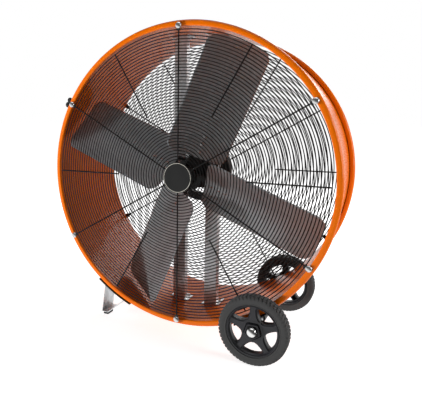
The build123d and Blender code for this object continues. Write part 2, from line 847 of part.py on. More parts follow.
# ---------------------------------------------------------------- handle
def make_handle_brackets():
    """Two lobed plates that stand on the drum's wall on curved feet."""
    grip_line = wall_outside + handle_reach
    foot_inside = wall_outside + seat_gap
    foot_spread = degrees(handle_foot_width / foot_inside)
    foot_middle = handle_angle + degrees(grip_lobe_spacing / 2 / grip_line)
    inner = handle_offset - handle_sheet
    with BuildPart() as brackets:
        ends = ((-handle_offset, -handle_offset), (inner, inner - handle_foot_length))
        for plate_front, foot_front in ends:
            with BuildSketch(spoke_view(handle_angle, plate_front)):
                with Locations((grip_line, 0), (grip_line, grip_lobe_spacing)):
                    RegularPolygon(handle_lobe_radius, handle_sides)
                with Locations((foot_inside + handle_reach / 2, grip_lobe_spacing / 2)):
                    Rectangle(handle_reach, grip_lobe_spacing)
                Circle(foot_inside, mode=Mode.SUBTRACT)
            extrude(amount=-handle_sheet)
            with BuildSketch(front_view(foot_front)):
                sector(foot_inside, foot_inside + handle_sheet, foot_middle, foot_spread)
            extrude(amount=-handle_foot_length - handle_sheet)
    save(brackets.part, "handle_brackets")


def make_grip():
    """The grip between the brackets: a flat bar with two round edges."""
    grip_line = wall_outside + handle_reach
    half_length = handle_offset - handle_sheet
    with BuildPart() as grip:
        with BuildSketch(spoke_view(handle_angle, -half_length)):
            with Locations((grip_line, 0), (grip_line, grip_lobe_spacing)):
                RegularPolygon(grip_half_thickness, handle_sides)
            make_hull()
        extrude(amount=-2 * half_length)
    save(grip.part, "handle_grip")


# ---------------------------------------------------------------- switch box
switch_seat = wall_outside + seat_gap
switch_box_top = wall_outside + switch_box_height
knob_seat = switch_box_top + switch_cover_sheet + turn_gap


def switch_view(radius):
    """The wall's view centred on the switch box."""
    return wall_view(switch_angle, radius, switch_middle)


def gland_view(y):
    """A plane square to Y, facing back, centred on the cable gland in the switch box's back end."""
    middle = (switch_seat + switch_box_floor + switch_box_top) / 2
    x, z = polar(middle, switch_angle)
    return back_view(y, x, axis_z + z)


def make_switch_box():
    """A box with a curved underside on the drum's wall, open at the top for its cover."""
    floor = switch_seat + switch_box_floor
    inner_length = switch_box_length - 2 * switch_box_wall
    inner_width = switch_box_width - 2 * switch_box_wall
    with BuildPart() as box:
        with BuildSketch(switch_view(drum_radius)):
            Rectangle(switch_box_length, switch_box_width)
        extrude(amount=switch_box_top - drum_radius)
        with BuildSketch(front_view(switch_middle - switch_box_length)):
            Circle(switch_seat)
        extrude(amount=-2 * switch_box_length, mode=Mode.SUBTRACT)
        with BuildSketch(switch_view(floor)):
            Rectangle(inner_length, inner_width)
        extrude(amount=switch_box_top - floor, mode=Mode.SUBTRACT)
        with BuildSketch(gland_view(switch_middle + inner_length / 2)):
            RegularPolygon(gland_stem_radius + seat_gap, gland_sides)
        extrude(amount=switch_box_wall, mode=Mode.SUBTRACT)
    save(box.part, "switch_box")


def make_switch_cover():
    """A flat cover with a hole for the knob's stem."""
    with BuildPart() as cover:
        with BuildSketch(switch_view(switch_box_top)):
            Rectangle(switch_box_length, switch_box_width)
        extrude(amount=switch_cover_sheet)
        flat_bore(switch_view(switch_box_top), knob_stem_radius + running_gap, switch_cover_sheet)
    save(cover.part, "switch_cover")


def make_knob():
    """A tapered knob on a stem through the cover."""
    with BuildPart() as knob:
        outline = [(0, knob_radius), (knob_height, knob_radius - knob_taper)]
        turned(switch_view(knob_seat), knob_sides, outline)
        with BuildSketch(switch_view(knob_seat)):
            Circle(knob_stem_radius)
        extrude(amount=-knob_stem_length)
    save(knob.part, "speed_knob")


def make_gland():
    """The cable gland in the back end of the switch box: a stem, a nut and a tapered cap."""
    end = switch_middle + switch_box_length / 2
    seat = gland_view(end)
    inside = gland_view(end - switch_box_wall)
    with BuildPart() as gland:
        turned(inside, gland_sides, [(0, gland_stem_radius), (switch_box_wall, gland_stem_radius)])
        turned(seat, 6, [(0, gland_radius), (gland_nut, gland_radius)])
        turned(seat, gland_sides, [
            (gland_nut, gland_stem_radius + gland_taper),
            (gland_length, gland_stem_radius),
        ])
        flat_bore(inside, gland_bore, gland_length + switch_box_wall)
    save(gland.part, "cable_gland")


# ---------------------------------------------------------------- build all
make_drum()
make_rings(front_face, "front_grille_rings")
make_rings(back_face - wire, "rear_grille_rings")
make_spokes(front_face - wire, "front_grille_spokes")
make_spokes(back_face, "rear_grille_spokes")
make_disc(front_view(front_face - wire), "front_grille_disc")
make_disc(back_view(back_face + wire), "rear_grille_disc")
make_clips()
make_strut(-1, "left_strut")
make_strut(1, "right_strut")
make_bearing_plate(front_plate_front, "front_bearing_plate")
make_bearing_plate(strut_back, "rear_bearing_plate")
make_bearing(front_view(front_plate_front), "front_bearing")
make_bearing(back_view(rear_plate_back), "rear_bearing")
for blade_number in range(blade_count):
    make_blade(blade_phase + 360 / blade_count * blade_number, f"blade_{blade_number + 1}")
make_hub()
make_fan_shaft()
make_fan_pulley()
make_motor_pulley()
make_belt()
make_motor()
make_shelf()
make_motor_base()
make_saddle(leg_saddle_middle, "leg_saddle")
make_saddle(axle_angle, "axle_saddle")
make_leg(-leg_offset, "front_leg")
make_leg(leg_offset, "rear_leg")
make_feet()
make_axle_bracket(-bracket_offset, "front_axle_bracket")
make_axle_bracket(bracket_offset, "rear_axle_bracket")
make_axle()
make_wheel(-1, "front_wheel")
make_wheel(1, "rear_wheel")
make_tyre(-1, "front_tyre")
make_tyre(1, "rear_tyre")
make_handle_brackets()
make_grip()
make_switch_box()
make_switch_cover()
make_knob()
make_gland()
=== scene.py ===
"""A wheeled drum fan with a belt drive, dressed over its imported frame, in metres.

X runs to the right and Z up, seen from the air outlet side. Y runs along the fan's axis, from
the outlet grille at the front (-Y) to the inlet grille at the back (+Y). The floor is Z = 0.
"""
import logging
from dataclasses import dataclass
from enum import Enum
from math import asin, cos, pi, radians, sin, tan, tau

import bmesh
import bpy
import numpy as np
from mathutils import Matrix, Vector


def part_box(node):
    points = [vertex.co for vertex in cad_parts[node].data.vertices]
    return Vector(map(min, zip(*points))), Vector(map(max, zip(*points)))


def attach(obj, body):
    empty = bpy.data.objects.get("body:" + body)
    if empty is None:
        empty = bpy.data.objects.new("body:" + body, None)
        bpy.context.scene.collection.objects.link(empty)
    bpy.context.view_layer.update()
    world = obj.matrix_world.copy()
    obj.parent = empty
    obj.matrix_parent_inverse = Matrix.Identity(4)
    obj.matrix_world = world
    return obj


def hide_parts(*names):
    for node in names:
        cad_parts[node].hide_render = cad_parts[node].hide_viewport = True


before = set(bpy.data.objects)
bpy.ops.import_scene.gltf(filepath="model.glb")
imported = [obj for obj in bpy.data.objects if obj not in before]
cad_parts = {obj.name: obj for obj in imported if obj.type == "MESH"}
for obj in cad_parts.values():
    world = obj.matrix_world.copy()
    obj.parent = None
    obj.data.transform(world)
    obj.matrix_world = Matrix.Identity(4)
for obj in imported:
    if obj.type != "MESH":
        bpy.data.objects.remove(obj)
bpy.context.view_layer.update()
LOG = logging.getLogger("drum_fan")
FORWARD = np.array([0, -1.0, 0])
BACKWARD = np.array([0, 1.0, 0])
UPWARD = np.array([0, 0, 1.0])
Socket = bpy.types.NodeSocket
Sockets = bpy.types.bpy_prop_collection
Colour = tuple[float, float, float]
Seats = list[tuple[np.ndarray, np.ndarray]]
Values = np.ndarray | list


# ---------------------------------------------------------------- shapes as whole arrays
@dataclass
class Surface:
    """Points and four-cornered faces, kept as whole arrays."""

    points: np.ndarray
    faces: np.ndarray

    def placed(self, origin: np.ndarray, x: Values, y: Values, z: Values) -> "Surface":
        """Carries the surface into the frame of origin, x, y and z: origin + px x + py y + pz z."""
        axes = np.stack([np.asarray(x, float), np.asarray(y, float), np.asarray(z, float)])
        return Surface(self.points @ axes + np.asarray(origin, float), self.faces)

    def moved(self, y: float, z: float) -> "Surface":
        """Shifts the surface by so much along Y and along Z."""
        return Surface(self.points + np.array([0, y, z]), self.faces)


def joined(parts: list[Surface]) -> Surface:
    """Puts several surfaces into one.

    Args:
        parts: The surfaces to join.

    Returns:
        One surface, whose faces count on from the points of those before it.
    """
    starts = np.cumsum([0] + [len(part.points) for part in parts[:-1]])
    points = np.concatenate([part.points for part in parts])
    faces = np.concatenate([part.faces + start for part, start in zip(parts, starts)])
    return Surface(points, faces)


def grid(points: np.ndarray, wrap_rows: bool = False, wrap_columns: bool = False) -> Surface:
    """Joins a grid of points by quads: face (i, j) has corners (i, j), (i+1, j), (i+1, j+1), (i, j+1).

    Args:
        points: An array of rows by columns by three.
        wrap_rows: Whether the last row meets the first.
        wrap_columns: Whether the last column meets the first.

    Returns:
        The surface.
    """
    rows, columns = points.shape[:2]
    i = np.arange(rows if wrap_rows else rows - 1)[:, None]
    j = np.arange(columns if wrap_columns else columns - 1)[None, :]
    below, beside = (i + 1) % rows, (j + 1) % columns
    corners = [i * columns + j, below * columns + j, below * columns + beside, i * columns + beside]
    faces = np.stack(np.broadcast_arrays(*corners), -1).reshape(-1, 4)
    return Surface(points.reshape(-1, 3), faces)


def full_turn(steps: int) -> np.ndarray:
    """Divides a full turn: angle = 2 pi n / steps.

    Args:
        steps: How many steps make the turn.

    Returns:
        The steps' angles, in radians.
    """
    return np.arange(steps) * tau / steps


def swept(radius: np.ndarray, y: Values, closed: bool = False) -> Surface:
    """Carries radii round the Y axis: x = r cos a, y = y, z = r sin a.

    Args:
        radius: The radii, with a row for each Y and a column for each step of a full turn.
        y: The rows' Y.
        closed: Whether the last row meets the first.

    Returns:
        The surface.
    """
    turn = full_turn(radius.shape[1])
    y = np.broadcast_to(np.asarray(y, float)[:, None], radius.shape)
    return grid(np.stack([radius * np.cos(turn), y, radius * np.sin(turn)], -1), closed, True)


def turned(profile: Values, sides: int = 96, closed: bool = False) -> Surface:
    """Turns a profile about the Y axis.

    Args:
        profile: Pairs of radius and Y.
        sides: How many steps make a full turn.
        closed: Whether the profile's last point meets its first.

    Returns:
        The turned surface.
    """
    profile = np.asarray(profile, float)
    return swept(profile[:, :1] * np.ones(sides), profile[:, 1], closed)


def mirrored(side: Values, between: Values | None = None) -> np.ndarray:
    """Follows half an outline with its mirror image, run backwards: (r, y) becomes (r, -y).

    Args:
        side: Pairs of radius and Y.
        between: Pairs that come between the two halves, if any do.

    Returns:
        The whole outline.
    """
    side = np.asarray(side, float)
    middle = np.zeros((0, 2)) if between is None else between
    return np.concatenate([side, middle, side[::-1] * [1, -1]])


def filleted(corners: np.ndarray, radii: list[float], steps: int) -> np.ndarray:
    """Rounds the corners of an open line: each inner corner becomes an arc tangent to both runs.

    Args:
        corners: The line's points.
        radii: One radius for each inner corner.
        steps: How many points make an arc.

    Returns:
        The rounded line's points.
    """
    corners = np.asarray(corners, float)
    runs = [corners[:1]]
    for before, corner, after, radius in zip(corners, corners[1:], corners[2:], radii):
        back = (before - corner) / np.linalg.norm(before - corner)
        ahead = (after - corner) / np.linalg.norm(after - corner)
        half = np.arccos(np.clip(back @ ahead, -1, 1)) / 2
        middle = (back + ahead) / np.linalg.norm(back + ahead)
        centre = corner + middle * radius / np.sin(half)
        start = corner + back * radius / np.tan(half) - centre
        end = corner + ahead * radius / np.tan(half) - centre
        share = np.linspace(0, 1, steps)[:, None]
        bend = pi - 2 * half
        arc = start * np.sin((1 - share) * bend) + end * np.sin(share * bend)
        runs.append(centre + arc / np.sin(bend))
    return np.concatenate(runs + [corners[-1:]])


def thickened(line: np.ndarray, thickness: float) -> np.ndarray:
    """Gives a flat line a thickness: out along one side by half of it and back along the other.

    Args:
        line: The middle line's points.
        thickness: The whole thickness.

    Returns:
        The points of the closed outline.
    """
    along = np.gradient(line, axis=0)
    along /= np.linalg.norm(along, axis=1, keepdims=True)
    side = np.stack([-along[:, 1], along[:, 0]], 1) * thickness / 2
    return np.concatenate([line + side, (line - side)[::-1]])


def aimed(surface: Surface, origin: np.ndarray, direction: np.ndarray) -> Surface:
    """Carries a surface so that its own Y points in a direction.

    Args:
        surface: What to carry.
        origin: Where its own origin goes.
        direction: Where its own Y points.

    Returns:
        The surface in its place.
    """
    y = np.asarray(direction, float) / np.linalg.norm(direction)
    guide = np.array([1.0, 0, 0]) if abs(y[0]) < 0.9 else UPWARD
    x = guide - (guide @ y) * y
    x /= np.linalg.norm(x)
    return surface.placed(origin, x, y, np.cross(x, y))


def rod(start: Values, end: Values, radius: float, sides: int) -> Surface:
    """A round bar with flat ends, as a profile (0, r, r, 0) turned about the line between its ends.

    Args:
        start: The middle of one end.
        end: The middle of the other end.
        radius: The bar's radius.
        sides: How many sides stand for the circle.

    Returns:
        The bar.
    """
    start, end = np.asarray(start, float), np.asarray(end, float)
    length = float(np.linalg.norm(end - start))
    bar = turned([[0, 0], [radius, 0], [radius, length], [0, length]], sides)
    return aimed(bar, start, end - start)


def polar(radius: float, angle: float, y: float = 0.0, height: float = 0.0) -> np.ndarray:
    """A point about an axis along Y.

    Args:
        radius: How far it lies from the axis.
        angle: Its angle from +X towards +Z, in degrees.
        y: Its Y.
        height: The axis's Z.

    Returns:
        The point.
    """
    return np.array([radius * cos(radians(angle)), y, height + radius * sin(radians(angle))])


def outwards(angle: float) -> np.ndarray:
    """The unit direction away from an axis along Y.

    Args:
        angle: The angle in degrees.

    Returns:
        The direction.
    """
    return polar(1.0, angle)


def sideways(angle: float) -> np.ndarray:
    """The unit direction round an axis along Y, square to the outward one.

    Args:
        angle: The angle in degrees.

    Returns:
        The direction.
    """
    return np.array([-sin(radians(angle)), 0, cos(radians(angle))])


def angles(count: int, first: float) -> list[float]:
    """Divides a full turn from a first angle.

    Args:
        count: How many angles there are.
        first: The first one, in degrees.

    Returns:
        The angles in degrees.
    """
    return [first + 360 / count * number for number in range(count)]


def spread(surface: Surface, count: int, first: float) -> list[Surface]:
    """Repeats a surface round the Y axis, with its own X pointing outwards.

    Args:
        surface: What to repeat.
        count: How many copies there are.
        first: The first copy's angle, in degrees.

    Returns:
        The copies.
    """
    ways = [outwards(angle) for angle in angles(count, first)]
    return [surface.placed(np.zeros(3), way, BACKWARD, np.cross(way, BACKWARD)) for way in ways]


# ---------------------------------------------------------------- shared effects
class Effect(Enum):
    """The shader node groups that the finishes share."""

    GRAIN = "fine_grain"
    DUST = "settled_dust"
    SPANGLE = "zinc_spangle"
    STREAKS = "rolled_streaks"
    EDGES = "painted_edge_glint"


class Wiring:
    """Adds nodes to a node tree and links them with few words."""

    def __init__(self, tree: bpy.types.NodeTree) -> None:
        """Keeps the tree to work in."""
        self.tree = tree

    def feed(self, node: bpy.types.Node, feeds: dict[str | int, object]) -> None:
        """Feeds a node's inputs: a socket is linked, and anything else is set as a constant.

        Args:
            node: The node to feed.
            feeds: What feeds each of its inputs.
        """
        for name, value in feeds.items():
            if isinstance(value, Socket):
                self.tree.links.new(value, node.inputs[name])
            else:
                node.inputs[name].default_value = value

    def node(self, kind: str, feeds: dict[str | int, object] | None = None, **settings: object) -> Sockets:
        """Adds one node.

        Args:
            kind: The node's type.
            feeds: What feeds each of its inputs.
            **settings: Attributes of the node.

        Returns:
            The node's outputs.
        """
        node = self.tree.nodes.new(kind)
        for name, value in settings.items():
            setattr(node, name, value)
        self.feed(node, feeds or {})
        return node.outputs

    def ramp(self, source: Socket, low: float, high: float, start: float, end: float) -> Socket:
        """Maps a value in a straight line, from start at low to end at high, and no further."""
        feeds = {"Value": source, "From Min": low, "From Max": high, "To Min": start, "To Max": end}
        return self.node("ShaderNodeMapRange", feeds)["Result"]

    def math(self, operation: str, *values: Socket | float) -> Socket:
        """Works out one step of arithmetic on the values, by the Math node's name for it."""
        return self.node("ShaderNodeMath", dict(enumerate(values)), operation=operation)[0]

    def mix(self, share: Socket, first: object, second: object, kind: str = "RGBA") -> Socket:
        """Mixes two colours (RGBA) or values (FLOAT): first (1 - share) + second share."""
        feeds = {"Factor": share, "A": first, "B": second}
        return self.node("ShaderNodeMix", feeds, data_type=kind)["Result"]

    def place(self) -> Socket:
        """Gives the object's own coordinates."""
        return self.node("ShaderNodeTexCoord")["Object"]


def new_group(effect: Effect, **inputs: float) -> tuple[Wiring, Sockets]:
    """Starts a shader node group.

    Args:
        effect: Which effect the group holds.
        **inputs: Its inputs and their first values.

    Returns:
        The group's wiring, and the sockets that carry its inputs.
    """
    wires = Wiring(bpy.data.node_groups.new(effect.value, "ShaderNodeTree"))
    for name, value in inputs.items():
        socket = wires.tree.interface.new_socket(name, in_out="INPUT", socket_type="NodeSocketFloat")
        socket.default_value = value
    return wires, wires.node("NodeGroupInput")


def finished_group(wires: Wiring, **results: Socket) -> bpy.types.NodeTree:
    """Gives a group its outputs, a vector for Normal and a value for any other.

    Args:
        wires: The group's wiring.
        **results: What each output carries.

    Returns:
        The group.
    """
    for name in results:
        kind = "NodeSocketVector" if name == "Normal" else "NodeSocketFloat"
        wires.tree.interface.new_socket(name, in_out="OUTPUT", socket_type=kind)
    wires.node("NodeGroupOutput", results)
    return wires.tree


def grain_group() -> bpy.types.NodeTree:
    """Fine grain: a value that varies with noise at Scale, and a bumped normal of Strength.

    Returns:
        The group, with outputs Value and Normal.
    """
    wires, given = new_group(Effect.GRAIN, Scale=400.0, Strength=0.1)
    feeds = {"Vector": wires.place(), "Scale": given["Scale"], "Detail": 3.0}
    noise = wires.node("ShaderNodeTexNoise", feeds)["Fac"]
    feeds = {"Height": noise, "Strength": given["Strength"], "Distance": 0.0006}
    return finished_group(wires, Value=noise, Normal=wires.node("ShaderNodeBump", feeds)["Normal"])


def dust_group() -> bpy.types.NodeTree:
    """Settled dust: a mask that is strongest on faces that look up, broken by noise, times Amount.

    Returns:
        The group, with output Mask.
    """
    wires, given = new_group(Effect.DUST, Amount=0.2, Scale=30.0)
    normal = wires.node("ShaderNodeNewGeometry")["Normal"]
    facing = wires.ramp(wires.node("ShaderNodeSeparateXYZ", {"Vector": normal})["Z"], -0.2, 1.0, 0.1, 1.0)
    feeds = {"Vector": wires.place(), "Scale": given["Scale"], "Detail": 5.0}
    patchy = wires.ramp(wires.node("ShaderNodeTexNoise", feeds)["Fac"], 0.35, 0.7, 0.2, 1.0)
    mask = wires.math("MULTIPLY", wires.math("MULTIPLY", facing, patchy), given["Amount"])
    return finished_group(wires, Mask=mask)


def spangle_group() -> bpy.types.NodeTree:
    """Zinc spangle: each crystal of a cell pattern has its own lightness.

    Returns:
        The group, with output Value from 0 to 1.
    """
    wires, given = new_group(Effect.SPANGLE, Scale=90.0)
    cells = wires.node("ShaderNodeTexVoronoi", {"Vector": wires.place(), "Scale": given["Scale"]})
    level = wires.node("ShaderNodeSeparateColor", {"Color": cells["Color"]})["Red"]
    return finished_group(wires, Value=level)


def streak_group() -> bpy.types.NodeTree:
    """Rolled streaks: noise squeezed nine times along Y, so that its streaks run along X and Z.

    Returns:
        The group, with output Value from 0 to 1.
    """
    wires, given = new_group(Effect.STREAKS, Scale=40.0)
    drawn = wires.node("ShaderNodeMapping", {"Vector": wires.place(), "Scale": (1.0, 9.0, 1.0)})["Vector"]
    feeds = {"Vector": drawn, "Scale": given["Scale"], "Detail": 4.0}
    return finished_group(wires, Value=wires.node("ShaderNodeTexNoise", feeds)["Fac"])


def edge_group() -> bpy.types.NodeTree:
    """Painted edge glint: a mask that is 1 on sharp outer edges and 0 on flats and in hollows, times Amount.
    It lightens those edges as a painted highlight.

    Returns:
        The group, with output Mask.
    """
    wires, given = new_group(Effect.EDGES, Amount=0.5)
    edge = wires.ramp(wires.node("ShaderNodeNewGeometry")["Pointiness"], 0.503, 0.53, 0.0, 1.0)
    return finished_group(wires, Mask=wires.math("MULTIPLY", edge, given["Amount"]))


GROUP_MAKERS = {
    Effect.GRAIN: grain_group,
    Effect.DUST: dust_group,
    Effect.SPANGLE: spangle_group,
    Effect.STREAKS: streak_group,
    Effect.EDGES: edge_group,
}


def effect_in(wires: Wiring, effect: Effect, **values: float) -> Sockets:
    """Places a shared effect in a material, with its own values.

    Args:
        wires: The material's wiring.
        effect: The effect to place.
        **values: Its inputs' values.

    Returns:
        The effect's outputs.
    """
    tree = bpy.data.node_groups.get(effect.value) or GROUP_MAKERS[effect]()
    return wires.node("ShaderNodeGroup", values, node_tree=tree)


# ---------------------------------------------------------------- finishes
NOISE_SPAN = (0.3, 0.7)
COAT_ROUGHNESS = 0.08
# The light grey of the painted highlight on sharp edges.
EDGE_GLINT_COLOUR = (0.30, 0.29, 0.29, 1.0)
DUST_COLOUR = (0.36, 0.34, 0.31, 1.0)


@dataclass(frozen=True)
class Finish:
    """A plain finish: one colour with fine grain, a second tone, a painted highlight on sharp edges and a
    little dust.
    """

    name: str
    slot: str
    colour: Colour
    second: Colour
    roughness: float
    rough_spread: float = 0.08
    metallic: float = 0.0
    coat: float = 0.0
    grain_scale: float = 500.0
    grain: float = 0.08
    pattern: Effect = Effect.GRAIN
    pattern_scale: float = 25.0
    dust: float = 0.0
    specular: float = 0.5
    # How strongly sharp edges are lightened, as a painted highlight.
    painted_glint: float = 0.0

    def material(self) -> bpy.types.Material:
        """Builds the material once and finds it again by its name.

        Returns:
            The material.
        """
        known = bpy.data.materials.get(self.name)
        if known:
            return known
        material = bpy.data.materials.new(self.name)
        material.use_nodes = True
        material.diffuse_color = (*self.colour, 1.0)
        self.dress(Wiring(material.node_tree), material.node_tree.nodes["Principled BSDF"])
        return material

    def dress(self, wires: Wiring, shader: bpy.types.Node) -> None:
        """Wires colour, roughness and normal: two tones by the pattern, a painted highlight on sharp edges,
        then dust.

        Args:
            wires: The material's wiring.
            shader: The Principled node.
        """
        pattern = effect_in(wires, self.pattern, Scale=self.pattern_scale)
        grain = effect_in(wires, Effect.GRAIN, Scale=self.grain_scale, Strength=self.grain)
        edges = effect_in(wires, Effect.EDGES, Amount=self.painted_glint)
        dust = effect_in(wires, Effect.DUST, Amount=self.dust)
        share = wires.ramp(pattern["Value"], *NOISE_SPAN, 0.0, 1.0)
        tones = wires.mix(share, (*self.colour, 1.0), (*self.second, 1.0))
        # Painted highlight: sharp edges are lightened towards a light grey.
        glinted = wires.mix(edges["Mask"], tones, EDGE_GLINT_COLOUR)
        low, high = self.roughness - self.rough_spread, self.roughness + self.rough_spread
        wires.feed(shader, {
            "Base Color": wires.mix(dust["Mask"], glinted, DUST_COLOUR),
            "Roughness": wires.ramp(grain["Value"], *NOISE_SPAN, max(low, 0.02), min(high, 1.0)),
            "Normal": grain["Normal"],
            "Metallic": self.metallic,
            "Coat Weight": self.coat,
            "Coat Roughness": COAT_ROUGHNESS,
            "Specular IOR Level": self.specular,
        })


def grey(level: float) -> Colour:
    """An even grey.

    Args:
        level: How light it is.

    Returns:
        The colour.
    """
    return (level, level, level)


ORANGE_PAINT = Finish("orange_gloss_paint", "orange_paint", (0.84, 0.158, 0.0), (0.78, 0.144, 0.0), 0.26,
                      0.04, coat=0.22, grain_scale=260.0, grain=0.05, pattern_scale=6.0, specular=0.10)
BLACK_WIRE = Finish("black_coated_wire", "black_wire", grey(0.004), grey(0.007), 0.42, grain_scale=900.0,
                    specular=0.25)
BLACK_PAINT = Finish("black_satin_paint", "black_paint", grey(0.007), grey(0.011), 0.42,
                     grain_scale=400.0, dust=0.02, specular=0.4)
BLACK_PLASTIC = Finish("black_moulded_plastic", "black_plastic", grey(0.010), grey(0.016), 0.5,
                       grain_scale=1200.0, grain=0.2)
GALVANISED = Finish("galvanised_sheet", "galvanised", (0.70, 0.71, 0.72), (0.82, 0.83, 0.84), 0.38, 0.1,
                    metallic=0.85, pattern=Effect.SPANGLE, pattern_scale=120.0, grain_scale=300.0,
                    dust=0.03)
ZINC = Finish("zinc_plated_steel", "bright_steel", (0.66, 0.67, 0.68), (0.76, 0.76, 0.75), 0.26,
              metallic=0.95, grain_scale=900.0)
BRIGHT_STEEL = Finish("ground_steel", "bright_steel", (0.55, 0.55, 0.56), grey(0.64), 0.3, metallic=1.0,
                      pattern=Effect.STREAKS, pattern_scale=120.0, grain_scale=900.0)
CAP_STEEL = Finish("plated_cap", "cap_steel", grey(0.80), (0.86, 0.86, 0.85), 0.14, 0.04, metallic=1.0,
                   grain_scale=700.0)
CAST_IRON = Finish("black_cast_iron", "cast_iron", (0.016, 0.016, 0.017), (0.03, 0.03, 0.031), 0.55,
                   grain_scale=350.0, grain=0.35)
MOTOR_PAINT = Finish("motor_enamel", "motor_paint", (0.035, 0.037, 0.04), (0.05, 0.052, 0.055), 0.4,
                     coat=0.2, grain_scale=350.0, dust=0.05)
BELT_RUBBER = Finish("belt_rubber", "belt_rubber", grey(0.014), grey(0.026), 0.7, grain_scale=900.0,
                     grain=0.3)
FOOT_RUBBER = Finish("foot_rubber", "foot_rubber", grey(0.011), grey(0.02), 0.75, grain_scale=700.0,
                     grain=0.25, dust=0.08)
# The tyre's sharp tread edges are lightened: a painted highlight for the glints that the blocks catch.
TYRE_RUBBER = Finish("tyre_rubber", "tyre_rubber", (0.013, 0.0115, 0.014), (0.018, 0.0155, 0.019), 0.42,
                     grain_scale=600.0, grain=0.2, dust=0.02, specular=0.42, painted_glint=0.95)
WHEEL_PLASTIC = Finish("wheel_plastic", "wheel_plastic", grey(0.006), (0.010, 0.010, 0.009), 0.22,
                       coat=0.3, grain_scale=500.0)
BLADE_METAL = Finish("satin_blade_metal", "blade_metal", (0.36, 0.385, 0.40), (0.43, 0.455, 0.47), 0.33,
                     0.06, metallic=0.45, pattern=Effect.STREAKS, pattern_scale=20.0, grain_scale=600.0,
                     grain=0.05, dust=0.05)
# A pale cream ring on the grille disc: a painted highlight of the rim's bevel.
DISC_BEVEL_HIGHLIGHT = Finish("disc_painted_highlight", "black_paint", (0.62, 0.60, 0.52), (0.70, 0.68, 0.60), 0.4,
                   grain_scale=600.0)


# ---------------------------------------------------------------- pieces
SEAM = 2e-6
FLAT_BELOW = radians(1.0)
ROUNDED_ABOVE = radians(34)
FINE_EDGE = 0.0006
SMALL_EDGE = 0.0008
SHEET_EDGE = 0.0009
PLATE_EDGE = 0.0010
CAST_EDGE = 0.0012
RUBBER_EDGE = 0.0015
BOX_EDGE = 0.0025


def in_scene(name: str, data: bpy.types.ID) -> bpy.types.Object:
    """Makes an object and links it to the scene.

    Args:
        name: The object's name.
        data: Its mesh, camera or lamp.

    Returns:
        The object.
    """
    thing = bpy.data.objects.new(name, data)
    bpy.context.scene.collection.objects.link(thing)
    return thing


def make_mesh(name: str, surface: Surface, sharp: float) -> bpy.types.Mesh:
    """Puts a surface into a mesh, closes its seams and poles, and turns its faces outwards.

    Args:
        name: The mesh's name.
        surface: The points and faces.
        sharp: The angle in degrees above which an edge stays sharp.

    Returns:
        The mesh.
    """
    mesh = bpy.data.meshes.new(name)
    mesh.vertices.add(len(surface.points))
    mesh.vertices.foreach_set("co", surface.points.astype(np.float32).ravel())
    mesh.loops.add(surface.faces.size)
    mesh.loops.foreach_set("vertex_index", surface.faces.astype(np.int32).ravel())
    mesh.polygons.add(len(surface.faces))
    mesh.polygons.foreach_set("loop_start", np.arange(len(surface.faces), dtype=np.int32) * 4)
    mesh.update(calc_edges=True)
    work = bmesh.new()
    work.from_mesh(mesh)
    bmesh.ops.remove_doubles(work, verts=work.verts, dist=SEAM)
    bmesh.ops.recalc_face_normals(work, faces=work.faces)
    work.to_mesh(mesh)
    work.free()
    mesh.shade_smooth()
    mesh.set_sharp_from_angle(angle=radians(sharp))
    return mesh


def settle(piece: bpy.types.Object, finish: Finish, body: str,
           stands_for: tuple[str, ...]) -> bpy.types.Object:
    """Dresses a piece in its finish, lets it ride, and hides the nodes that it replaces.

    Args:
        piece: The object.
        finish: Its finish.
        body: The body that it rides on.
        stands_for: The nodes that it replaces.

    Returns:
        The same object.
    """
    piece.data.materials.clear()
    piece.data.materials.append(finish.material())
    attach(piece, body)
    if stands_for:
        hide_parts(*stands_for)
    LOG.info("%s: %d faces, %s, on %s", piece.name, len(piece.data.polygons), finish.name, body)
    return piece


def add_piece(name: str, surface: Surface, finish: Finish, body: str = "frame",
              stands_for: tuple[str, ...] = (), sharp: float = 38.0) -> bpy.types.Object:
    """Makes one piece of the fan.

    Args:
        name: The piece's name.
        surface: Its points and faces.
        finish: What it is finished in.
        body: The body that it rides on.
        stands_for: The nodes of the frame that it replaces.
        sharp: The angle in degrees above which an edge stays sharp.

    Returns:
        The object.
    """
    return settle(in_scene(name, make_mesh(name, surface, sharp)), finish, body, stands_for)


def bevelled_copy(node: str, finish: Finish, width: float, body: str = "frame", segments: int = 2) -> None:
    """Copies a node of the frame, merges its flat faces and rounds its edges. It replaces the node.

    Args:
        node: The node's name.
        finish: What it is finished in.
        width: The width of the rounded edge.
        body: The body that it rides on.
        segments: How many faces make the rounding.
    """
    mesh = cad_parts[node].data.copy()
    work = bmesh.new()
    work.from_mesh(mesh)
    bmesh.ops.remove_doubles(work, verts=work.verts, dist=SEAM)
    bmesh.ops.dissolve_limit(work, angle_limit=FLAT_BELOW, verts=work.verts, edges=work.edges)
    work.to_mesh(mesh)
    work.free()
    mesh.shade_smooth()
    mesh.set_sharp_from_angle(angle=ROUNDED_ABOVE)
    piece = in_scene(f"{node}_dressed", mesh)
    rounding = piece.modifiers.new("rounded_edges", "BEVEL")
    rounding.width = width
    rounding.segments = segments
    rounding.limit_method = "ANGLE"
    rounding.angle_limit = ROUNDED_ABOVE
    rounding.harden_normals = True
    settle(piece, finish, body, (node,))


# ---------------------------------------------------------------- fasteners
@dataclass(frozen=True)
class HexBolt:
    """A washer and a six-sided head with a chamfered top, standing on the plane Y = 0."""

    across: float = 0.0110
    head: float = 0.0042
    washer: float = 0.0078
    washer_thick: float = 0.0012
    chamfer: float = 0.0008
    top_share: float = 0.88

    def surface(self) -> Surface:
        """Turns the washer, and the head with six sides.

        Returns:
            Both of them.
        """
        r, top, low = self.across / 2, self.head + self.washer_thick, self.washer_thick
        washer = turned([[0, 0], [self.washer, 0], [self.washer, low], [0, low]], 20)
        side = [[r, low], [r, top - self.chamfer], [r * self.top_share, top]]
        return joined([washer, turned([[0, low], *side, [0, top]], 6)])


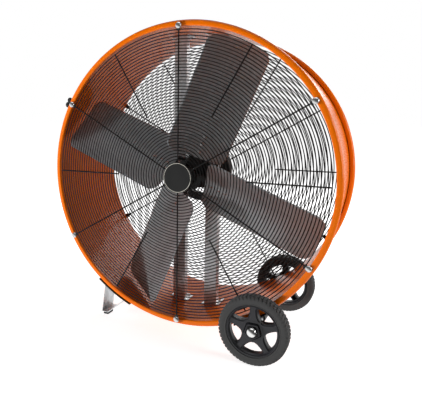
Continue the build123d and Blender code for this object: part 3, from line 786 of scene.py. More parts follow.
@dataclass(frozen=True)
class DomeScrew:
    """A round domed head: radius = head cos t, height = dome sin t above its edge."""

    head: float = 0.0095
    edge: float = 0.0016
    dome: float = 0.0058
    sink: float = 0.001

    def surface(self, sides: int) -> Surface:
        """Turns the head, which stands on the plane Y = 0 and sinks a little below it.

        Args:
            sides: How many steps make a full turn.

        Returns:
            The head.
        """
        turn = np.linspace(0, pi / 2, 8)
        rise = self.edge + (self.dome - self.edge) * np.sin(turn)
        foot = [[0, -self.sink], [self.head, -self.sink]]
        return turned(np.concatenate([foot, np.stack([self.head * np.cos(turn), rise], 1)]), sides)


def bolts_at(seats: Seats, shape: Surface) -> Surface:
    """Repeats one fastener.

    Args:
        seats: Where each one stands, and the way that its head points.
        shape: The fastener.

    Returns:
        All of them.
    """
    return joined([aimed(shape, seat, way) for seat, way in seats])


# ---------------------------------------------------------------- the fan's own measures
@dataclass(frozen=True)
class FanPlaces:
    """Places that several sub-assemblies share, most of them read from the frame."""

    axis_z: float
    front: float
    back: float
    rim: float
    wall: float = 0.4676

    @classmethod
    def from_frame(cls) -> "FanPlaces":
        """Works the places out from the drum's box in the frame."""
        low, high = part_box("drum_shell")
        return cls(axis_z=(low.z + high.z) / 2, front=low.y, back=high.y, rim=(high.x - low.x) / 2)

    def at(self, radius: float, angle: float, y: float) -> np.ndarray:
        """Gives the point at a radius from the fan's axis and an angle in degrees round it."""
        return polar(radius, angle, y, self.axis_z)


@dataclass
class Drum:
    """The painted drum: one sheet whose mouths turn out and roll back into round rims."""

    places: FanPlaces
    wall_middle: float = 0.4668
    sheet: float = 0.0016
    rim_depth: float = 0.0180
    lip_radius: float = 0.4705
    mouth_radius: float = 0.0035
    roll_radius: float = 0.0084
    sides: int = 288

    def build(self) -> None:
        """Turns the thickened rim and wall line about the axis."""
        face = self.places.back - self.sheet / 2
        out = self.places.rim - self.sheet / 2
        inner = self.places.back - self.rim_depth
        rim = [(self.lip_radius, -inner), (out, -inner), (out, -face), (self.wall_middle, -face)]
        rolls = [self.roll_radius, self.roll_radius, self.mouth_radius]
        rounded = filleted(mirrored(rim), rolls + rolls[::-1], 9)
        shell = turned(thickened(rounded, self.sheet), self.sides, closed=True)
        add_piece("drum", shell.moved(0, self.places.axis_z), ORANGE_PAINT, stands_for=("drum_shell",),
                  sharp=50)


@dataclass
class Grille:
    """One wire grille: many rings, long and short spokes over them, a disc and screws."""

    places: FanPlaces
    side: str
    out: float
    ring_first: float = 0.0575
    ring_last: float = 0.4560
    rings: int = 43
    wire: float = 0.0016
    spoke: float = 0.0023
    spoke_lift: float = 0.9
    spoke_count: int = 6
    long_angle: float = 30.0
    long_inner: float = 0.046
    long_outer: float = 0.4740
    short_inner: float = 0.2190
    screw_circle: float = 0.4670
    screw_seat: float = 0.005
    disc_seat: float = 0.003
    disc_radius: float = 0.0490
    disc_thick: float = 0.0050
    line_inner_inset: float = 0.0040
    line_outer_inset: float = 0.0026
    ring_sides: int = 144

    @property
    def face(self) -> float:
        """The Y of the rim that the grille lies on."""
        return self.places.front if self.out < 0 else self.places.back

    def build(self) -> None:
        """Builds the wires, the disc and the screws."""
        self.build_rings()
        self.build_spokes()
        self.build_disc()
        self.build_screws()

    def build_rings(self) -> None:
        """Rings: every ring is a small circle of the wire's radius carried round the axis."""
        turn = full_turn(6)
        section = np.stack([np.cos(turn), np.sin(turn)], 1) * self.wire
        y = self.face - self.out * self.wire
        radii = np.linspace(self.ring_first, self.ring_last, self.rings)
        wires = joined([turned(section + [radius, y], self.ring_sides, closed=True) for radius in radii])
        add_piece(f"{self.side}_ring_wires", wires.moved(0, self.places.axis_z), BLACK_WIRE,
                  stands_for=(f"{self.side}_grille_rings",), sharp=80)

    def build_spokes(self) -> None:
        """Spokes: straight round wires in front of the rings, a long and a short one by turns."""
        y = self.face + self.out * self.spoke * self.spoke_lift
        half_step = 180 / self.spoke_count
        spokes = []
        for long in angles(self.spoke_count, self.long_angle):
            for angle, inner, outer in ((long, self.long_inner, self.long_outer),
                                        (long + half_step, self.short_inner, self.ring_last)):
                ends = self.places.at(inner, angle, y), self.places.at(outer, angle, y)
                spokes.append(rod(*ends, self.spoke, 8))
        add_piece(f"{self.side}_spoke_wires", joined(spokes), BLACK_WIRE,
                  stands_for=(f"{self.side}_grille_spokes",))

    def build_disc(self) -> None:
        """The bare disc with a rounded rim, and just inside it a narrow pale ring: a painted highlight of
        the rim's bevel.
        """
        r, t = self.disc_radius, self.disc_thick
        line_in, line_out = r - self.line_inner_inset, r - self.line_outer_inset
        disc = turned([
            [0, 0], [r - 0.0004, 0], [r, 0.0004], [r, t - 0.0012], [r - 0.0005, t - 0.0003], [r - 0.0014, t],
            [line_out, t], [line_out, t - 0.0003], [line_in, t - 0.0003], [line_in, t], [0, t],
        ])
        ring = turned([
            [line_in, t - 0.0006], [line_out, t - 0.0006], [line_out, t - 0.0001], [line_in, t - 0.0001],
        ], closed=True)
        seat = np.array([0, self.face + self.out * self.disc_seat, self.places.axis_z])
        way = BACKWARD * self.out
        add_piece(f"{self.side}_disc", aimed(disc, seat, way), BLACK_PAINT,
                  stands_for=(f"{self.side}_grille_disc",))
        # The pale ring is a painted highlight.
        add_piece(f"{self.side}_disc_highlight_ring", aimed(ring, seat, way), DISC_BEVEL_HIGHLIGHT)

    def build_screws(self) -> None:
        """A domed screw at the end of each long spoke."""
        y = self.face + self.out * self.screw_seat
        turns = angles(self.spoke_count, self.long_angle)
        seats = [(self.places.at(self.screw_circle, angle, y), BACKWARD * self.out) for angle in turns]
        add_piece(f"{self.side}_grille_screws", bolts_at(seats, DomeScrew().surface(28)), ZINC)


@dataclass
class BladeFan:
    """Four cambered blades riveted to pitched arms on a hub."""

    places: FanPlaces
    count: int = 4
    phase: float = 67.0
    plane: float = -0.097
    root: float = 0.064
    tip: float = 0.455
    width: float = 0.172
    camber: float = 0.364
    pitch: float = 32.0
    corner: float = 0.030
    sheet: float = 0.002
    rivets: tuple[float, ...] = (0.086, 0.112, 0.138)
    rivet_front: float = 0.0023
    rivet_back: float = 0.0040
    camber_turn: float = 0.42

    @property
    def centre(self) -> np.ndarray:
        """The point where the blades' middle lines meet the axis."""
        return np.array([0, self.plane, self.places.axis_z])

    def build(self) -> None:
        """Builds the blades, the hub and the rivets."""
        for number, angle in enumerate(angles(self.count, self.phase), 1):
            blade = add_piece(f"fan_blade_{number}", self.blade_surface(angle), BLADE_METAL, "rotor",
                              (f"blade_{number}",), 60)
            wall = blade.modifiers.new("sheet", "SOLIDIFY")
            wall.thickness = self.sheet
            wall.offset = 0.0
        bevelled_copy("blade_hub", BLACK_PAINT, CAST_EDGE, "rotor")
        self.build_rivets()

    def blade_surface(self, angle: float) -> Surface:
        """The blade's middle sheet.

        Across the blade, a circle of the camber's radius R stands on the pitched line: at turn t
        the offset is R sin t along it and R (1 - cos t) towards the front. Along the blade, rows
        run from the straight root to the tip's circle, and near both ends the half width shrinks
        by the corner's quarter circle.

        Args:
            angle: The blade's angle about the axis, in degrees.

        Returns:
            A grid of points, one sheet thick.
        """
        pitch, half_sheet = radians(self.pitch), self.sheet / 2
        turn = np.linspace(-self.camber_turn, self.camber_turn, 400)
        along = (self.camber + half_sheet) * np.sin(turn)
        rise = self.camber * (1 - np.cos(turn)) + half_sheet
        across_table = along * cos(pitch) - rise * sin(pitch)
        front_table = along * sin(pitch) + rise * cos(pitch)
        share = (1 - np.cos(np.linspace(0, pi, 72))) / 2
        end = np.minimum(share, 1 - share) * (self.tip - self.root)
        short = np.clip(self.corner - end, 0, None)
        inset = self.corner - np.sqrt(np.clip(self.corner**2 - short**2, 0, None))
        across = (self.width / 2 - inset)[:, None] * np.linspace(-1, 1, 40)[None, :]
        front = np.interp(across, across_table, front_table)
        reach = self.root + (np.sqrt(self.tip**2 - across**2) - self.root) * share[:, None]
        points = self.centre + reach[..., None] * outwards(angle) + across[..., None] * sideways(angle)
        return grid(points + front[..., None] * FORWARD)

    def build_rivets(self) -> None:
        """Three round-headed rivets through each blade and its arm, with a head on both sides."""
        pitch = radians(self.pitch)
        seats = []
        for angle in angles(self.count, self.phase):
            normal = -sideways(angle) * sin(pitch) + FORWARD * cos(pitch)
            for way, lift in ((normal, self.rivet_front), (-normal, self.rivet_back)):
                seats += [(self.centre + outwards(angle) * reach + way * lift, way) for reach in self.rivets]
        head = DomeScrew(head=0.0062, edge=0.0006, dome=0.0024).surface(20)
        add_piece("blade_rivets", bolts_at(seats, head), ZINC, "rotor")


@dataclass
class BeltDrive:
    """Both pulleys, the belt, the shafts and the bearings."""

    places: FanPlaces
    plane: float = 0.026
    fan_radius: float = 0.105
    motor_radius: float = 0.040
    motor_height: float = 0.235
    width: float = 0.024
    rim: float = 0.027
    spokes: int = 5
    belt_depth: float = 0.008
    belt_back: float = 0.013
    belt_front: float = 0.009
    sink: float = 0.001
    gap: float = 0.0004
    land_edge: float = 0.0008
    belt_edge: float = 0.0006
    fan_bore: float = 0.0101
    motor_bore: float = 0.0071
    boss_radius: float = 0.024
    boss_edge: float = 0.002
    spoke_waist: float = 0.0062
    spoke_flare: float = 0.0022
    spoke_half_depth: float = 0.0040

    def build(self) -> None:
        """Builds every turning and still piece of the drive."""
        self.build_fan_pulley()
        self.build_motor_pulley()
        self.build_belt()
        for node, body in (("fan_shaft", "rotor"), ("motor_shaft", "motor_rotor")):
            bevelled_copy(node, BRIGHT_STEEL, FINE_EDGE, body)
        for node in ("front_bearing", "rear_bearing"):
            bevelled_copy(node, CAST_IRON, CAST_EDGE)

    def rim_profile(self, radius: float, inside: float) -> np.ndarray:
        """A grooved rim, with small bevels on its lands.

        Args:
            radius: The rim's outer radius.
            inside: Its inner radius.

        Returns:
            Pairs of radius and Y.
        """
        half, floor = self.width / 2, radius - self.sink - self.belt_depth - self.gap
        slope = (self.belt_back - self.belt_front) / self.belt_depth / 2
        top = self.belt_back / 2 + slope * self.sink + self.gap
        low = self.belt_front / 2 - slope * self.gap + self.gap
        edge = self.land_edge
        return mirrored([
            [inside, -half + edge], [inside + edge, -half], [radius - edge, -half],
            [radius, -half + edge], [radius, -top], [floor, -low],
        ])

    def build_fan_pulley(self) -> None:
        """The large pulley: a grooved rim, oval spokes with a waist, and a hub.

        A spoke's half width is waist + flare u u, where u runs from -1 to 1 along it.
        """
        inside, half = self.fan_radius - self.rim, self.width / 2
        rim = turned(self.rim_profile(self.fan_radius, inside), 120, closed=True)
        boss, edge = self.boss_radius, self.boss_edge
        side = [[self.fan_bore, -half], [boss - edge, -half], [boss, -half + edge]]
        hub = turned(mirrored(side), 48, closed=True)
        turn = full_turn(20)
        reach = np.linspace(0.018, inside + 0.004, 12)
        share = 2 * (reach - reach.mean()) / np.ptp(reach)
        half_width = self.spoke_waist + self.spoke_flare * share**2
        x = np.broadcast_to(reach[:, None], (12, 20))
        z = half_width[:, None] * np.cos(turn)[None, :]
        y = self.spoke_half_depth * np.sin(turn)[None, :] * np.ones((12, 1))
        bar = grid(np.stack([x, y, z], -1), wrap_columns=True)
        whole = joined([rim, hub, *spread(bar, self.spokes, 0.0)]).moved(self.plane, self.places.axis_z)
        add_piece("large_pulley", whole, CAST_IRON, "rotor", ("fan_pulley",))

    def build_motor_pulley(self) -> None:
        """The small pulley: a grooved rim down to the shaft."""
        rim = turned(self.rim_profile(self.motor_radius, self.motor_bore), 72, closed=True)
        whole = rim.moved(self.plane, self.places.axis_z + self.motor_height)
        add_piece("small_pulley", whole, CAST_IRON, "motor_rotor", ("motor_pulley",))

    def build_belt(self) -> None:
        """The belt: a V section carried round two arcs and two straight runs.

        The middle line's point at turn a is (r cos a, h + r sin a), with the upper pulley's r and
        h above the tangent points and the lower pulley's below them, and the section stands
        square to it.
        """
        half = self.belt_depth / 2
        low, high = self.fan_radius - self.sink - half, self.motor_radius - self.sink - half
        slope = asin((low - high) / self.motor_height)
        steps = (60, 110)
        upper, lower = (slope, pi - slope, steps[0]), (pi - slope, tau + slope, steps[1])
        turn = np.concatenate([np.linspace(*upper), np.linspace(*lower)])
        radius = np.repeat([high, low], steps)
        height = np.repeat([self.motor_height, 0.0], steps)
        normal = np.stack([np.cos(turn), np.zeros_like(turn), np.sin(turn)], 1)
        middle = normal * radius[:, None] + np.outer(height, UPWARD)
        wide, narrow, edge = self.belt_back / 2, self.belt_front / 2, self.belt_edge
        section = mirrored([
            [half, -wide + edge], [half - edge, -wide], [-half + edge, -narrow], [-half, -narrow + edge],
        ])
        points = middle[:, None, :] + section[None, :, :1] * normal[:, None, :]
        belt = grid(points + section[None, :, 1:] * BACKWARD, wrap_rows=True, wrap_columns=True)
        add_piece("belt", belt.moved(self.plane, self.places.axis_z), BELT_RUBBER, stands_for=("v_belt",),
                  sharp=30)


@dataclass
class Motor:
    """The motor: a ribbed body, two end bells, and the base and shelf below it."""

    places: FanPlaces
    height: float = BeltDrive.motor_height
    radius: float = 0.068
    front: float = 0.050
    length: float = 0.115
    bell: float = 0.022
    bore: float = 0.0072
    bolt_circle: float = 0.050
    ribs: int = 36
    rib_depth: float = 0.0022
    rib_sink: float = 0.0005
    bell_sink: float = 0.0006

    def build(self) -> None:
        """Builds the body, the bells and what carries them."""
        self.build_body()
        self.build_bells()
        bevelled_copy("motor_base", BLACK_PAINT, PLATE_EDGE)
        bevelled_copy("motor_shelf", GALVANISED, PLATE_EDGE)

    def build_body(self) -> None:
        """The ribbed body: radius = R - sink - depth (1 - rib(a)), where rib is a rounded square wave."""
        wave = np.clip(0.5 + 1.6 * np.sin(full_turn(self.ribs * 8) * self.ribs), 0, 1)
        end = self.length - 2 * self.bell
        share = np.array([0, 0, 1, 1, 0, 0])[:, None]
        radius = self.radius - self.rib_sink - self.rib_depth * (1 - wave[None, :] * share)
        radius[[0, -1]] = 0.0
        body = swept(radius, [0, 0, 0.002, end - 0.002, end, end])
        body = body.moved(self.front + self.bell, self.places.axis_z + self.height)
        add_piece("motor_body", body, MOTOR_PAINT, stands_for=("motor_shell",), sharp=50)

    def build_bells(self) -> None:
        """Two bells with rounded shoulders, a sunk middle and four through bolts each."""
        r, depth = self.radius - self.bell_sink, self.bell
        corners = [[0.016, depth], [r - 0.0034, depth], [r, depth - 0.010], [r, 0]]
        shoulder = filleted(np.array(corners), [0.006, 0.006], 7)
        sunk = [[reach, depth - 0.001] for reach in (self.bore, 0.014, 0.016)]
        bell = turned(np.concatenate([sunk, shoulder, [[self.bore, 0]]]), closed=True)
        head = HexBolt(across=0.008, head=0.003, washer=0.0055, washer_thick=0.0008).surface()
        seats = [(polar(self.bolt_circle, angle, depth - 0.0004), BACKWARD) for angle in angles(4, 45.0)]
        bolts = bolts_at(seats, head)
        for name, y, way in (("front", self.front + depth, FORWARD),
                             ("rear", self.front + self.length - depth, BACKWARD)):
            place = np.array([0, y, self.places.axis_z + self.height])
            add_piece(f"motor_{name}_end", aimed(bell, place, way), MOTOR_PAINT,
                      stands_for=(f"motor_{name}_bell",), sharp=32)
            add_piece(f"motor_{name}_end_bolts", aimed(bolts, place, way), ZINC)


@dataclass
class Structure:
    """Struts, bearing plates, saddles, legs, brackets and all their bolts."""

    places: FanPlaces
    strut_middle: float = 0.059
    strut_lips: float = 0.04525
    strut_end: float = 82.74
    pad_inside: float = 0.4628
    saddle_outside: float = 0.4892
    leg_middle: float = 240.0
    axle_angle: float = -58.548
    leg_angles: tuple[float, float] = (234.4, 242.3)
    leg_offset: float = 0.0985
    bracket_offset: float = 0.115
    tab_sheet: float = 0.003
    strut_bolt_turn: float = 2.4
    strut_bolt_y: float = 0.006
    saddle_bolt_turn: float = 7.2
    saddle_bolt_y: float = 0.154
    tab_bolt_y: float = 0.02
    bracket_bolt_turn: float = 2.9

    def build(self) -> None:
        """Rounds the plates' edges and adds the bolts."""
        for node in ("left_strut", "right_strut", "front_leg", "rear_leg"):
            bevelled_copy(node, GALVANISED, SHEET_EDGE)
        for node in ("front_bearing_plate", "rear_bearing_plate", "leg_saddle", "axle_saddle",
                     "front_axle_bracket", "rear_axle_bracket"):
            bevelled_copy(node, BLACK_PAINT, SHEET_EDGE)
        bevelled_copy("leg_feet", FOOT_RUBBER, RUBBER_EDGE, segments=3)
        bevelled_copy("grille_clips", BLACK_PLASTIC, FINE_EDGE)
        self.build_plate_bolts()
        self.build_wall_bolts()

    def build_plate_bolts(self) -> None:
        """Hexagon bolts of the bearing plates, the bearings, the motor's shelf and its base.

        Each row gives the bolts' X, their Y, their height above the axis and their way.
        """
        struts, lips = (-self.strut_middle, self.strut_middle), (-self.strut_lips, self.strut_lips)
        rows = [
            (struts, (-0.041,), (-0.036, 0.036), FORWARD),
            (lips, (-0.007,), (-0.036, 0.036), BACKWARD),
            ((0.0,), (-0.049,), (-0.045, 0.045), FORWARD),
            ((0.0,), (0.001,), (-0.045, 0.045), BACKWARD),
            (lips, (-0.008,), (0.128,), BACKWARD),
            ((-0.051, 0.051), (0.072, 0.143), (0.157,), UPWARD),
        ]
        seats = [(np.array([x, y, self.places.axis_z + up]), way)
                 for xs, ys, ups, way in rows for x in xs for y in ys for up in ups]
        add_piece("frame_bolts", bolts_at(seats, HexBolt().surface()), ZINC)

    def wall_seats(self, turns: list[float], ys: list[float], radius: float, way: float = 1) -> Seats:
        """Gives seats on a cylinder, at each angle and each Y: with way 1 they face out, with -1 in."""
        return [(self.places.at(radius, turn, y), outwards(turn) * way) for turn in turns for y in ys]

    def build_wall_bolts(self) -> None:
        """Bolts through the drum's wall, the saddles, the legs' tabs and the axle's brackets."""
        head = HexBolt().surface()
        ends = (self.strut_end, 180 - self.strut_end, -self.strut_end, self.strut_end - 180)
        turns = [end + way * self.strut_bolt_turn for end in ends for way in (-1, 1)]
        seats = self.wall_seats(turns, [self.strut_bolt_y], self.pad_inside, -1)
        seats += self.wall_seats(turns, [self.strut_bolt_y], self.places.wall)
        add_piece("strut_bolts", bolts_at(seats, head), ZINC)
        corners = [middle + way * self.saddle_bolt_turn
                   for middle in (self.leg_middle, self.axle_angle) for way in (-1, 1)]
        seats = self.wall_seats(corners, [-self.saddle_bolt_y, self.saddle_bolt_y], self.saddle_outside)
        tab_outside = self.saddle_outside + self.tab_sheet
        tabs = [side * self.leg_offset + way * self.tab_bolt_y for side in (-1, 1) for way in (-1, 1)]
        seats += self.wall_seats(list(self.leg_angles), tabs, tab_outside)
        feet = [self.axle_angle - self.bracket_bolt_turn, self.axle_angle + self.bracket_bolt_turn]
        seats += self.wall_seats(feet, [-self.bracket_offset, self.bracket_offset], tab_outside)
        add_piece("undercarriage_bolts", bolts_at(seats, head), ZINC)


@dataclass
class Wheel:
    """One wheel: a treaded tyre and a moulded five-spoke centre."""

    side: str
    out: float
    radius: float = 0.104
    width: float = 0.041
    inner: float = 0.202
    right: float = 0.263
    seat: float = 0.078
    rim_wall: float = 0.009
    rim_share: float = 0.83
    blocks: int = 56
    slant: float = 1.1
    groove: float = 0.0030
    shoulder_line: float = 0.34
    bore: float = 0.0082
    face: float = 0.0120
    spokes: int = 5
    spoke_reach: float = 0.0735
    boss_flat: float = 0.0205
    boss_corner: float = 0.0238

    def build(self) -> None:
        """Builds the tyre and the moulded centre."""
        middle = np.array([self.right, self.out * (self.inner + self.width / 2), self.radius])
        axes = [1, 0, 0], [0, self.out, 0], [0, 0, 1]
        body = f"{self.side}_wheel_turning"
        add_piece(f"{self.side}_treaded_tyre", self.tyre_surface().placed(middle, *axes), TYRE_RUBBER, body,
                  (f"{self.side}_tyre",), 28)
        centre = joined([self.rim_surface(), self.hub_surface(), *self.spoke_surfaces()])
        add_piece(f"{self.side}_wheel_centre", centre.placed(middle, *axes), WHEEL_PLASTIC, body,
                  (f"{self.side}_wheel",), 30)

    def tyre_surface(self) -> Surface:
        """The tyre: a rounded section turned about the axle, cut into slanted blocks.

        With u the turn in blocks and s = |y| over the tread's half width, the radius drops by the
        groove's depth where the fraction of u + slant s is within 0.18 of a whole number, and in a
        line round the tread at the shoulder line, past which the blocks step on by half.

        Returns:
            The tyre about the Y axis.
        """
        half, r, seat = self.width / 2, self.radius, self.seat
        side = [
            [seat, half * 0.80], [seat + 0.0022, half * 0.99], [seat + 0.0040, half],
            [seat + 0.0055, half * 0.965], [r - 0.014, half], [r - 0.010, half], [r - 0.006, half * 0.985],
            [r - 0.0035, half * 0.95], [r - 0.0016, half * 0.89], [r - 0.0004, half * 0.80],
        ]
        crown_y = np.linspace(0.66, -0.66, 19) * half
        profile = mirrored(side, np.stack([r - 0.0004 * (crown_y / half) ** 2, crown_y], 1))
        turn = full_turn(self.blocks * 10)
        s = np.abs(profile[:, 1])[:, None] / half
        on_tread = np.clip((profile[:, :1] - (r - 0.0125)) / 0.004, 0, 1)
        step = np.where(s > self.shoulder_line, 0.5, 0.0)
        phase = turn[None, :] * self.blocks / tau + self.slant * s + step
        across = np.clip((np.abs(phase % 1.0 - 0.5) - 0.32) / 0.06, 0, 1)
        around = np.clip((0.07 - np.abs(s - self.shoulder_line)) / 0.03, 0, 1) * 0.8
        radius = profile[:, :1] - self.groove * np.maximum(across, around) * on_tread
        return swept(radius, profile[:, 1], closed=True)

    def rim_surface(self) -> Surface:
        """The rim: a shallow channel section with a bead on both edges, turned about the axle.

        Returns:
            The rim about the Y axis.
        """
        seat, inside, half = self.seat, self.seat - self.rim_wall, self.width / 2 * self.rim_share
        edge = [
            [seat, half], [seat - 0.0010, half + 0.0016], [seat - 0.0030, half + 0.0018],
            [seat - 0.0042, half + 0.0004], [seat - 0.0048, half - 0.0040], [inside + 0.0005, half - 0.0080],
        ]
        return turned(mirrored(edge, [[inside, 0]]), 144, closed=True)

    def hub_surface(self) -> Surface:
        """The boss: five sides with round corners in front, and round steps behind.

        The five-sided radius is the lesser of flat / cos(fold) and the corners' own radius, where
        fold is the angle from the nearest side's middle. Rows with a share above 0.5 scale it, and
        the other rows give a plain radius.

        Returns:
            The boss about the Y axis.
        """
        fold = (full_turn(120) - pi / 2 + pi / 5) % (tau / 5) - pi / 5
        five = np.minimum(self.boss_flat / np.cos(fold), self.boss_corner)
        outer, face, bore = self.width / 2, self.face, self.bore
        rows = [
            (bore, -outer), (0.018, -outer), (0.0195, -outer + 0.0015), (0.0235, -outer + 0.004),
            (0.0310, -outer + 0.010), (0.0314, face), (0.0308, face + 0.0007), (1.20, face + 0.0007),
            (1.17, face), (1.14, face - 0.0035), (1.08, face - 0.0035), (1.05, face + 0.004),
            (1.02, outer - 0.0015), (0.97, outer), (0.86, outer), (0.83, outer - 0.0045),
            (0.0165, outer - 0.0045), (bore, outer - 0.0045),
        ]
        radius = np.stack([five * size if size > 0.5 else np.full(120, size) for size, _ in rows])
        return swept(radius, [y for _, y in rows], closed=True)

    def spoke_surfaces(self) -> list[Surface]:
        """Five spokes, waisted, with a raised middle in front and a hollow behind.

        The half width follows a line of widths along the radius. Inside the radius where two spokes
        meet it is the radius times tan 36, so the five mitre together, under the boss's skirt.

        Returns:
            The spokes about the Y axis, the front towards +Y.
        """
        meet, tip = 0.0285, self.spoke_reach
        reach = np.array([0.004, 0.022, 0.024, meet, 0.031, 0.031, 0.036, 0.042, 0.050, 0.058, 0.064,
                          0.0685, 0.0685, tip])
        half = np.interp(reach, [0.0, meet, 0.036, 0.045, 0.060, 0.066, tip],
                         [0.0, meet * tan(pi / 5), 0.0160, 0.0124, 0.0108, 0.0112, 0.0140])
        sunk = np.where(reach < 0.023, 0.006, 0.0)
        stepped = (reach > meet + 0.001).astype(float)
        hollow = np.array([0] * 5 + [1] * 7 + [0] * 2, float)
        face, back, wall, edge = self.face, -self.face, 0.004, 0.0008
        floor = back + hollow * (2 * face - wall)
        outer = [(0, face - 0.0042), (edge, face - 0.0032), (0.0024, face - 0.0030), (0.0044, face)]
        inner = [(wall, floor), (wall, back), (edge, back), (0, back + edge)]
        section = [(-1, *corner) for corner in outer] + [(1, *corner) for corner in outer[::-1]]
        section += [(1, *corner) for corner in inner[::-1]] + [(-1, *corner) for corner in inner]
        z = np.stack([side * (half - inset * stepped) for side, inset, _ in section], 1)
        y = np.stack([np.broadcast_to(level, reach.shape) for _, _, level in section], 1)
        y = np.where(y > face - 0.004, y - sunk[:, None], y)
        spoke = grid(np.stack([np.broadcast_to(reach[:, None], z.shape), y, z], -1), wrap_columns=True)
        return spread(spoke, self.spokes, 90.0)


@dataclass
class Undercarriage:
    """Both wheels, the axle and the caps on its ends."""

    cap_seat: float = 0.2434
    cap_radius: float = 0.0150
    dome_radius: float = 0.0142
    dome_foot: float = 0.0055
    dome_height: float = 0.0070

    def build(self) -> None:
        """Builds the wheels, dresses the axle and caps it: r = R cos t, y = foot + height sin t."""
        sides = (("front", -1.0), ("rear", 1.0))
        for side, out in sides:
            Wheel(side, out).build()
        bevelled_copy("axle", BRIGHT_STEEL, SMALL_EDGE)
        turn = np.linspace(0, pi / 2, 10)
        rise = self.dome_foot + self.dome_height * np.sin(turn)
        foot = [[0, 0], [self.cap_radius, 0], [self.cap_radius, 0.0042], [self.cap_radius - 0.0004, 0.0050]]
        cap = turned(np.concatenate([foot, np.stack([self.dome_radius * np.cos(turn), rise], 1)]), 48)
        seats = [(np.array([Wheel.right, out * self.cap_seat, Wheel.radius]), BACKWARD * out)
                 for _, out in sides]
        add_piece("axle_caps", bolts_at(seats, cap), CAP_STEEL, stands_for=("hub_caps",))


@dataclass
class Handle:
    """The carry handle: a flat grip with round edges between two lobed brackets."""

    places: FanPlaces
    angle: float = 150.2
    grip_line: float = 0.5026
    spacing: float = 0.018
    thick: float = 0.0080
    half: float = 0.157
    outer: float = 0.160
    end_length: float = 0.001
    end_share: float = 0.96
    foot_top: float = 0.4708
    foot_middle: float = 1.05
    foot_bolt_turn: float = 1.3
    foot_bolt_y: float = 0.142

    def build(self) -> None:
        """Builds the grip, its screws and the feet's bolts, and rounds the brackets.

        The grip's section is a circle drawn apart into two half circles. It shrinks in the last
        millimetre towards each end.
        """
        out, across = outwards(self.angle), sideways(self.angle)
        turn = full_turn(48)
        shift = np.where(np.sin(turn) > 0, self.spacing, 0.0)
        run = np.linspace(-self.half + self.end_length, self.half - self.end_length, 20)
        y = np.concatenate([[-self.half, -self.half], run, [self.half, self.half]])
        size = np.concatenate([[0, self.end_share], np.ones(20), [self.end_share, 0]])[:, None]
        middle = self.spacing / 2
        lift = self.thick * np.cos(turn)[None, :] * size
        along = (shift + self.thick * np.sin(turn) - middle)[None, :] * size + middle
        centre = self.places.at(self.grip_line, self.angle, 0.0)
        points = centre + lift[..., None] * out + along[..., None] * across + y[:, None, None] * BACKWARD
        add_piece("handle_bar", grid(points, wrap_columns=True), BLACK_PLASTIC,
                  stands_for=("handle_grip",), sharp=45)
        bevelled_copy("handle_brackets", BLACK_PLASTIC, SMALL_EDGE)
        screw = DomeScrew(head=0.0055, edge=0.0012, dome=0.0034).surface(20)
        ends = [(centre + across * step + way * self.outer, way)
                for way in (FORWARD, BACKWARD) for step in (0.0, self.spacing)]
        add_piece("handle_screws", bolts_at(ends, screw), BLACK_PLASTIC)
        turns = [self.angle + self.foot_middle + way * self.foot_bolt_turn for way in (-1, 1)]
        feet = [(self.places.at(self.foot_top, turn, y), outwards(turn))
                for turn in turns for y in (-self.foot_bolt_y, self.foot_bolt_y)]
        bolt = HexBolt(across=0.009, head=0.0035, washer=0.006, washer_thick=0.001).surface()
        add_piece("handle_foot_bolts", bolts_at(feet, bolt), ZINC)


@dataclass
class SwitchBox:
    """The switch box on the drum's wall: a box, a cover with screws, a knob and a gland."""

    places: FanPlaces
    angle: float = 128.0
    middle: float = 0.030
    top: float = 0.5046
    length: float = 0.092
    width: float = 0.062
    screw_inset: float = 0.008
    knob: float = 0.015
    knob_gap: float = 0.0004
    flutes: int = 18
    flute_depth: float = 0.05
    pointer_line: tuple[float, float] = (0.002, 0.0105)
    pointer_top: float = 0.0140
    pointer: float = 0.0009
    stem: float = 0.0029
    stem_length: float = 0.012

    def build(self) -> None:
        """Rounds the box, the cover and the gland, and builds the knob and the screws."""
        edges = {"switch_box": BOX_EDGE, "switch_cover": SHEET_EDGE, "cable_gland": FINE_EDGE}
        for node, width in edges.items():
            bevelled_copy(node, BLACK_PLASTIC, width, segments=3)
        out, across = outwards(self.angle), sideways(self.angle)
        centre = self.places.at(self.top, self.angle, self.middle)
        reach, spread_by = self.length / 2 - self.screw_inset, self.width / 2 - self.screw_inset
        corners = [(centre + BACKWARD * y + across * w, out)
                   for y in (-reach, reach) for w in (-spread_by, spread_by)]
        screw = DomeScrew(head=0.0034, edge=0.0006, dome=0.0018).surface(16)
        add_piece("switch_cover_screws", bolts_at(corners, screw), ZINC)
        knob = self.knob_surface().placed(centre + out * self.knob_gap, across, out, BACKWARD)
        add_piece("knob_cap", knob, BLACK_PLASTIC, "knob", ("speed_knob",), 30)

    def knob_surface(self) -> Surface:
        """The knob: radius = R (1 - depth sqrt |sin(flutes a / 2)|) up a tapered side, and a pointer.

        Returns:
            The knob with its pointer and stem, standing on the plane Y = 0.
        """
        flute = 1 - self.flute_depth * np.abs(np.sin(full_turn(144) * self.flutes / 2)) ** 0.5
        plain = np.ones(144)
        rows = [
            (0.0, 0.0, plain), (1.0, 0.0, plain), (1.0, 0.0012, plain), (0.97, 0.0025, flute),
            (0.90, 0.0120, flute), (0.84, 0.0138, flute), (0.78, 0.0142, plain), (0.0, 0.0142, plain),
        ]
        radius = np.stack([self.knob * size * shape for size, _, shape in rows])
        body = swept(radius, [y for _, y, _ in rows])
        pointer = rod(*([reach, self.pointer_top, 0] for reach in self.pointer_line), self.pointer, 8)
        stem = rod([0, -self.stem_length, 0], [0, 0.0005, 0], self.stem, 16)
        return joined([body, pointer, stem])


